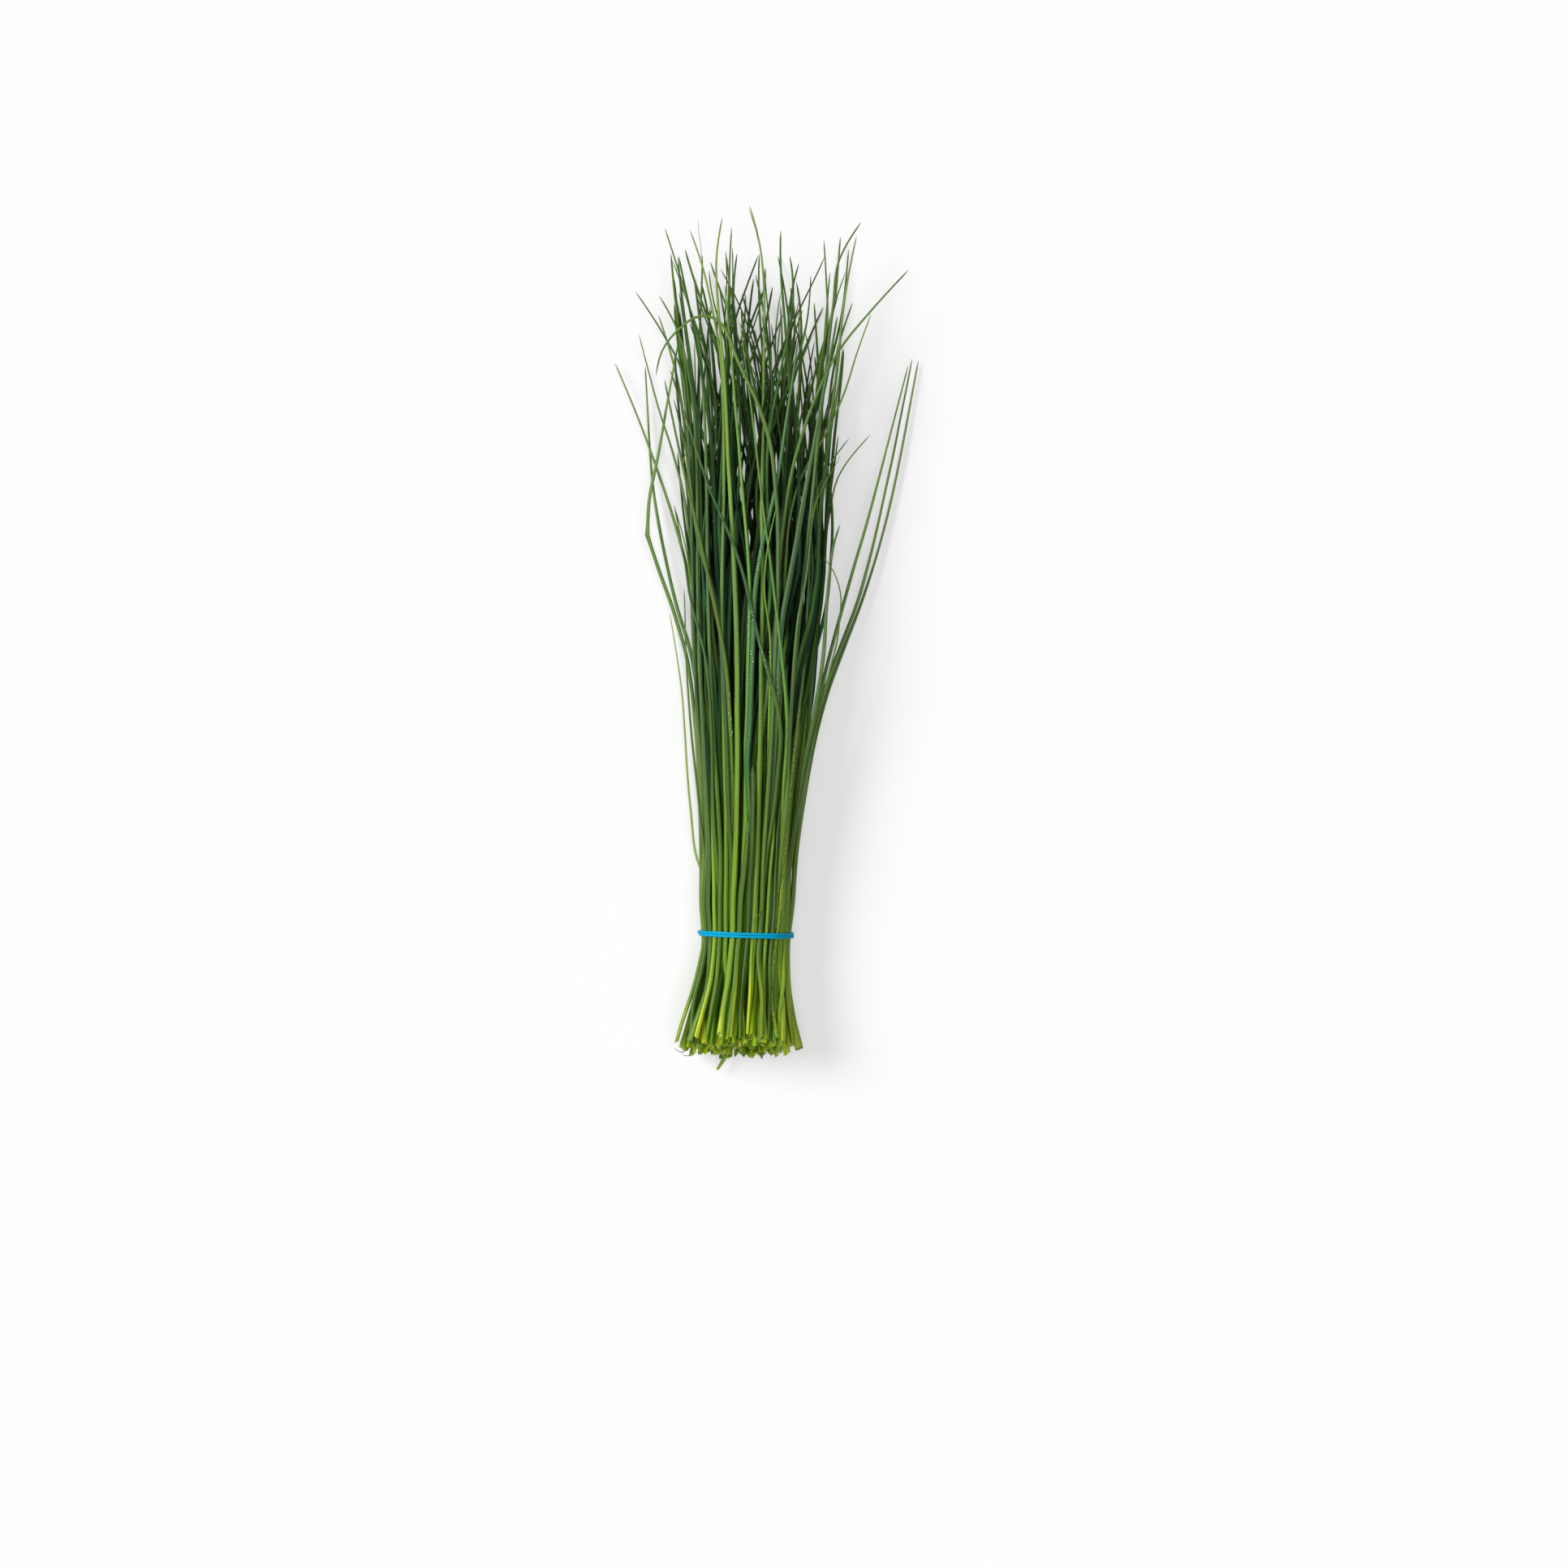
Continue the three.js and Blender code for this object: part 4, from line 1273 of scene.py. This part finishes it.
@dataclass(frozen=True)
class LeafFinish:
    """A chive leaf's waxy skin, which is brightest at its foot and darkest above the band."""

    name: str = "chive_skin"
    specular: float = 0.5
    spots: float = 0.0  # how clearly it is spotted
    longest: float = 2.8  # in the tenths of a metre that "place" counts
    # Where the colours lie along the longest leaf, a yellowish leaf's and a bluish leaf's.
    places: tuple[float, ...] = (0.0, 0.05, 0.1, 0.22, 0.35, 0.5, 1.0)
    warm: tuple[Color, ...] = (
        srgb(196, 214, 32), srgb(144, 180, 20), srgb(126, 168, 20), srgb(108, 152, 24),
        srgb(114, 160, 40), srgb(100, 144, 44), srgb(130, 164, 64),
    )
    cool: tuple[Color, ...] = (
        srgb(68, 124, 6), srgb(58, 110, 14), srgb(54, 106, 22), srgb(36, 80, 16),
        srgb(44, 92, 42), srgb(50, 98, 70), srgb(80, 124, 60),
    )
    flesh: Color = srgb(178, 206, 92)  # the wet inside that shows at the cut end
    straw: Color = srgb(168, 160, 78)  # a withered leaf
    tip: Color = srgb(88, 102, 44)  # a withered tip
    spot: Color = srgb(176, 206, 44)
    roughness: float = 0.36

    def material(self) -> Material:
        """Makes the material.

        Returns:
            The material.
        """
        s = Shader(bpy.data.materials.new(self.name))
        *_, skin = s.attribute("skin")
        length, inside, tipness, _ = s.attribute("place")
        # The tone's warmth and lightness carry the leaf's painted shade.
        warmth, light, withered, _ = s.attribute("tone")
        # Patterns from broad to fine, some of them drawn out along the leaf.
        blotch = s.noise(skin, (0.35, 0.35, 0.35))
        cloud = s.noise(skin, (0.8, 0.8, 0.12))
        streak = s.noise(skin, (2.6, 2.6, 0.1), 3.0)
        fine = s.noise(skin, (7.0, 7.0, 0.35))
        grain = s.noise(skin, (2.4, 2.4, 15.0))
        fleck = s.noise(skin, (5.0, 5.0, 9.0), 1.0)
        # The colour by length and warmth, and then flecks, withered streaks, spots and a withered tip.
        way = s.plus(s.math("DIVIDE", length, self.longest), s.spread(blotch, 0.3, 0.7, -0.06, 0.06))
        warm, cool = (s.ramp(way, self.places, colors) for colors in (self.warm, self.cool))
        hue = s.math("MAXIMUM", s.plus(warmth, s.spread(cloud, 0.3, 0.7, -0.3, 0.3)), 0.0)
        color = s.mix(s.math("MINIMUM", hue, 1.0), cool, warm)
        color = s.mix(s.spread(fleck, 0.68, 0.8, 0.0, 0.3), color, self.straw)
        color = s.mix(s.times(withered, s.spread(streak, 0.3, 0.7, 0.4, 1.2)), color, self.straw)
        if self.spots:
            scale = s.spread(s.noise(skin, (4.0, 4.0, 11.0)), 0.46, 0.56)
            color = s.mix(s.times(scale, s.spread(length, 0.9, 1.2, self.spots, 0.0)), color, self.spot)
        ragged = s.plus(tipness, s.spread(cloud, 0.3, 0.7, -0.15, 0.15))
        color = s.mix(s.spread(ragged, 0.5, 1.0), color, self.tip)
        # How light it is: as light as the whole leaf, whose lightness carries its painted shade, times the
        # patterns.
        level = s.times(
            s.math("MAXIMUM", s.plus(s.times(light, 0.35), 1.05), 0.08),
            s.spread(streak, 0.25, 0.75, 0.78, 1.22),
            s.spread(fine, 0.2, 0.8, 0.88, 1.12),
            s.spread(grain, 0.3, 0.7, 0.86, 1.14),
        )
        color = s.node("VectorMath", {0: color, 3: level}, operation="SCALE").outputs[0]
        rough = s.spread(cloud, 0.3, 0.7, self.roughness - 0.07, self.roughness + 0.1)
        relief = s.plus(s.times(streak, 0.5), s.times(fine, 0.2), s.times(grain, 0.4))
        return s.finish(
            {
                "Base Color": s.mix(s.times(inside, 0.85), color, self.flesh),
                "Roughness": s.plus(rough, s.times(withered, 0.25)),
                "IOR": 1.4,
                "Specular IOR Level": self.specular,
                "Normal": s.bump(relief, 0.0001, 0.6),
            }
        )


@dataclass(frozen=True)
class DewFinish:
    """Clear water on a green leaf: it shines, and shows a paler green than the leaf, a painted highlight for
    its glints.
    """

    # Painted highlight: near-white and pale green stand in for the beads' glints.
    color: Color = srgb(222, 236, 212)
    deep: Color = srgb(136, 170, 124)

    def material(self) -> Material:
        """Makes the material.

        Returns:
            The material.
        """
        s = Shader(bpy.data.materials.new("dew"))
        grain = s.noise(s.node("TexCoord").outputs["Object"], (1.0, 1.0, 1.0), 1.0, 2500.0)
        color = s.mix(s.spread(grain, 0.35, 0.65), self.deep, self.color)
        return s.finish({"Base Color": color, "Roughness": 0.12, "IOR": 1.33, "Specular IOR Level": 1.0})


@dataclass(frozen=True)
class RubberFinish:
    """Bright blue natural rubber, satin, with faint stretch marks along it."""

    color: Color = srgb(0, 184, 228)
    deep: Color = srgb(0, 156, 200)
    roughness: float = 0.46

    def material(self) -> Material:
        """Makes the material.

        Returns:
            The material.
        """
        s = Shader(bpy.data.materials.new("blue_rubber"))
        *_, skin = s.attribute("skin")
        streak, grain = s.noise(skin, (3.0, 3.0, 0.15), 3.0), s.noise(skin, (4.0, 4.0, 6.0))
        mixed = s.plus(s.times(streak, 0.6), s.times(grain, 0.4))
        return s.finish(
            {
                "Base Color": s.mix(s.spread(mixed, 0.3, 0.65), self.deep, self.color),
                "Roughness": s.spread(grain, 0.3, 0.7, self.roughness - 0.06, self.roughness + 0.12),
                "Specular IOR Level": 0.1,
                "Normal": s.bump(mixed, 0.00005, 0.5),
            }
        )


@dataclass(frozen=True)
class FloorFinish:
    """A plain white surface: it takes shadows, and the rest of its whiteness is its own."""

    color: Color = (0.58, 0.58, 0.58)
    lift: float = 0.456

    def material(self) -> Material:
        """Makes the material, whose own light shows only to the camera and in reflections.

        Returns:
            The material.
        """
        s = Shader(bpy.data.materials.new("white_surface"))
        path = s.node("LightPath").outputs
        seen = s.math("MAXIMUM", *(path[f"Is {kind} Ray"] for kind in ("Camera", "Glossy", "Transmission")))
        return s.finish(
            {
                "Base Color": self.color,
                "Roughness": 1.0,
                "Specular IOR Level": 0.0,
                "Emission Color": (1.0, 1.0, 1.0),
                "Emission Strength": s.times(seen, self.lift),
            }
        )


# ---- The studio ----


@dataclass(frozen=True)
class Lamp:
    """A far lamp."""

    name: str
    toward: Place  # its direction from the bunch
    strength: float
    softness: float  # how wide it looks, in degrees

    def build(self) -> None:
        """Makes the lamp, whose back axis points towards where its light comes from."""
        data = bpy.data.lights.new(self.name, "SUN")
        data.energy = self.strength
        data.angle = math.radians(self.softness)
        lamp = bpy.data.objects.new(self.name, data)
        lamp.rotation_euler = Vector(self.toward).to_track_quat("Z", "Y").to_euler()
        bpy.context.scene.collection.objects.link(lamp)


@dataclass
class Studio:
    """The floor, the lights and the camera, which looks straight down on the bunch."""

    aim: Pair = (12.4, 49.7)  # across and along the bunch, from the rubber band
    field_width: float = 522.0  # how much of the floor the view takes in
    camera_height: float = 1250.0  # above the bunch's middle
    camera_sees: Pair = (50.0, 20000.0)  # from how near to how far
    middle_height: float = 13.0
    floor_size: float = 6000.0
    sky_strength: float = 0.12
    # A soft key from the upper left, and a weaker one from above.
    lamps: tuple[Lamp, ...] = (
        Lamp("key_lamp", (-0.75, 0.35, 0.7), 2.15, 28),
        Lamp("top_lamp", (0.1, -0.1, 1.0), 1.15, 36),
    )

    def build(self) -> None:
        """Makes everything that is not part of the bunch."""
        self.camera()
        self.floor()
        for lamp in self.lamps:
            lamp.build()
        self.sky()
        bpy.context.scene.view_settings.view_transform = "Standard"

    def camera(self) -> None:
        """Makes the camera: its angle takes in the field at the bunch's middle height."""
        data = bpy.data.cameras.new("camera")
        data.angle = 2 * math.atan(self.field_width / 2 / self.camera_height)
        data.clip_start, data.clip_end = (distance * MM for distance in self.camera_sees)
        camera = bpy.data.objects.new("camera", data)
        camera.location = [MM * at for at in (*self.aim, self.camera_height + self.middle_height)]
        bpy.context.scene.collection.objects.link(camera)
        bpy.context.scene.camera = camera

    def floor(self) -> None:
        """Makes the floor, a flat square that the bunch lies on."""
        layout = np.array([[0, 0], [1, 0], [1, 1], [0, 1]], float)
        places = np.concatenate([(layout - 0.5) * self.floor_size, np.zeros((4, 1))], axis=1)
        square = Surface(places, np.arange(4), np.array([4]), layout)
        square.piece("floor", FloorFinish().material())

    def sky(self) -> None:
        """Makes the sky: an even soft light, which is white where it is seen."""
        s = Shader(bpy.data.worlds.new("sky"))
        seen = s.node("LightPath").outputs["Is Camera Ray"]
        inputs = {"Color": (1.0, 1.0, 1.0), "Strength": s.spread(seen, 0, 1, self.sky_strength, 1)}
        bpy.context.scene.world = s.finish(inputs, "Background", "OutputWorld")


# ---- The bunch ----


@dataclass
class ChiveBunch:
    """The whole bunch: the leaves that the frame holds, the leaves in its heart, and the rubber band."""

    frame_leaves: FrameLeaves = field(default_factory=FrameLeaves)
    heart: HeartLeaves = field(default_factory=HeartLeaves)
    crossing: CrossingLeaves = field(default_factory=CrossingLeaves)
    settling: Settling = field(default_factory=Settling)
    band: RubberBand = field(default_factory=RubberBand)
    scraps: Scraps = field(default_factory=Scraps)
    dew: Dew = field(default_factory=Dew)
    # How strongly the frame's, the heart's and the crossing leaves keep their places as they settle.
    homing: tuple[float, float, float] = (0.3, 0.04, 0.15)
    bundles: int = 8  # how many pieces the leaves of the heart are joined into
    heart_shade: Pair = (0.72, 1.18)  # how much of its painted shade the heart's outermost and innermost leaf has
    pale: tuple[str, ...] = ("stray_leaf_07", "stray_leaf_08", "stray_leaf_18")
    spotted: str = "stray_leaf_20"
    layers: dict[str, Layer] = field(default_factory=lambda: {"heart": Layer.HEART, "second": Layer.BELOW})
    # The warmth and lightness of leaves that show well, by number: those on top at the band from left to
    # right, and then the long ones at the sides.
    tones: dict[str, dict[int, Pair]] = field(
        default_factory=lambda: {
            "stray": {
                14: (0.45, 0.0), 12: (0.3, -0.4), 13: (0.2, -0.2), 21: (0.95, 0.4), 9: (0.3, -0.1),
                10: (0.8, 0.1), 11: (0.75, 0.45), 4: (0.35, 0.0), 22: (0.1, -0.5), 8: (0.6, 0.1),
                23: (0.4, -0.2), 7: (0.7, 0.3), 5: (0.05, -0.5), 20: (0.4, -0.3), 6: (0.5, 0.0),
                19: (0.75, -0.1), 1: (0.75, 0.3), 2: (0.7, 0.0), 3: (0.55, -0.3), 17: (0.6, 0.0),
                15: (0.6, -0.1), 16: (0.6, -0.1),
            },
            "outer": {2: (0.3, -0.5)},
            "crossing": {
                4: (0.08, -0.1), 7: (0.95, 0.2), 8: (0.3, -0.5), 9: (0.6, -0.4), 10: (0.4, -0.6),
                11: (0.45, -0.5), 12: (0.15, -0.3), 13: (0.5, -0.1),
            },
        }
    )

    def lines(self, rng: Rng) -> Lines:
        """Draws every leaf's line and settles all of them.

        Args:
            rng: the source of chance.

        Returns:
            The lines: the frame's leaves, the heart's and the crossing ones.
        """
        groups = (self.frame_leaves.lines(), self.heart.lines(rng), self.crossing.lines())
        homing = np.repeat(self.homing, [len(lines) for lines in groups])
        return self.settling.settle([line for lines in groups for line in lines], homing, rng)

    def leaves(self, lines: Lines, rng: Rng, skin: Material) -> list[Piece]:
        """Makes every leaf on its line: those of the heart in a few bundles, and each other one alone.

        Args:
            lines: every leaf's line.
            rng: the source of chance.
            skin: what the outer leaves wear.

        Returns:
            The pieces.
        """
        # A dull copy of the skin for the leaves with painted shade: with little shine they stay dark, as if
        # in real shade.
        shaded_skin = LeafFinish("shaded_chive_skin", specular=0.08).material()
        spotted_skin = LeafFinish("spotted_chive_skin", spots=0.9).material()
        finishes = {Layer.OUTSIDE: skin, Layer.BELOW: shaded_skin}
        pieces, heart = [], []
        for line in lines:
            kind, _, number = line.name.split("_")
            freshness = Freshness.PALE if line.name in self.pale else Freshness.FRESH
            layer = self.layers.get(kind, Layer.OUTSIDE)
            own = LeafCharacter.draw(rng, freshness, layer)
            if layer is Layer.HEART:
                # They come from the middle outwards, and the middle ones, deepest in the bunch, get the most
                # painted shade.
                shade = own.shade * np.interp(len(heart) / self.heart.count, [0, 1], self.heart_shade[::-1])
                heart.append(Leaf(line, replace(own, shade=shade)).surface())
                continue
            if tone := self.tones.get(kind, {}).get(int(number)):
                own = replace(own, warmth=tone[0], light=tone[1], withered=0.1)
            finish = spotted_skin if line.name == self.spotted else finishes[layer]
            node = line.name if line.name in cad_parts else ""
            name = line.name.replace("leaf", "chive")
            pieces.append(Leaf(line, own).surface().piece(name, finish, freshness.value, node))
        cuts = [number * len(heart) // self.bundles for number in range(self.bundles + 1)]
        for number in range(self.bundles):
            bundle = Surface.joined(heart[cuts[number] : cuts[number + 1]])
            pieces.append(bundle.piece(f"heart_chives_{number + 1}", shaded_skin, Freshness.FRESH.value))
        return pieces

    def build(self) -> list[Piece]:
        """Builds and dresses every piece.

        Returns:
            The pieces.
        """
        rng = np.random.default_rng(SEED)
        skin = LeafFinish().material()
        lines = self.lines(rng)
        pieces = [*self.leaves(lines, rng, skin), *self.scraps.build(lines, rng, skin)]
        return [*pieces, self.dew.build(lines, rng), self.band.build(lines)]


def main() -> None:
    """Builds the studio and the bunch."""
    logging.basicConfig(level=logging.INFO, format="%(message)s", stream=sys.stdout)
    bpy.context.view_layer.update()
    Studio().build()
    for piece in ChiveBunch().build():
        size = [round(side / MM, 1) for side in piece.dimensions]
        LOG.info("%s: %d faces, %s mm", piece.name, len(piece.data.polygons), size)


if __name__ == "__main__":
    main()
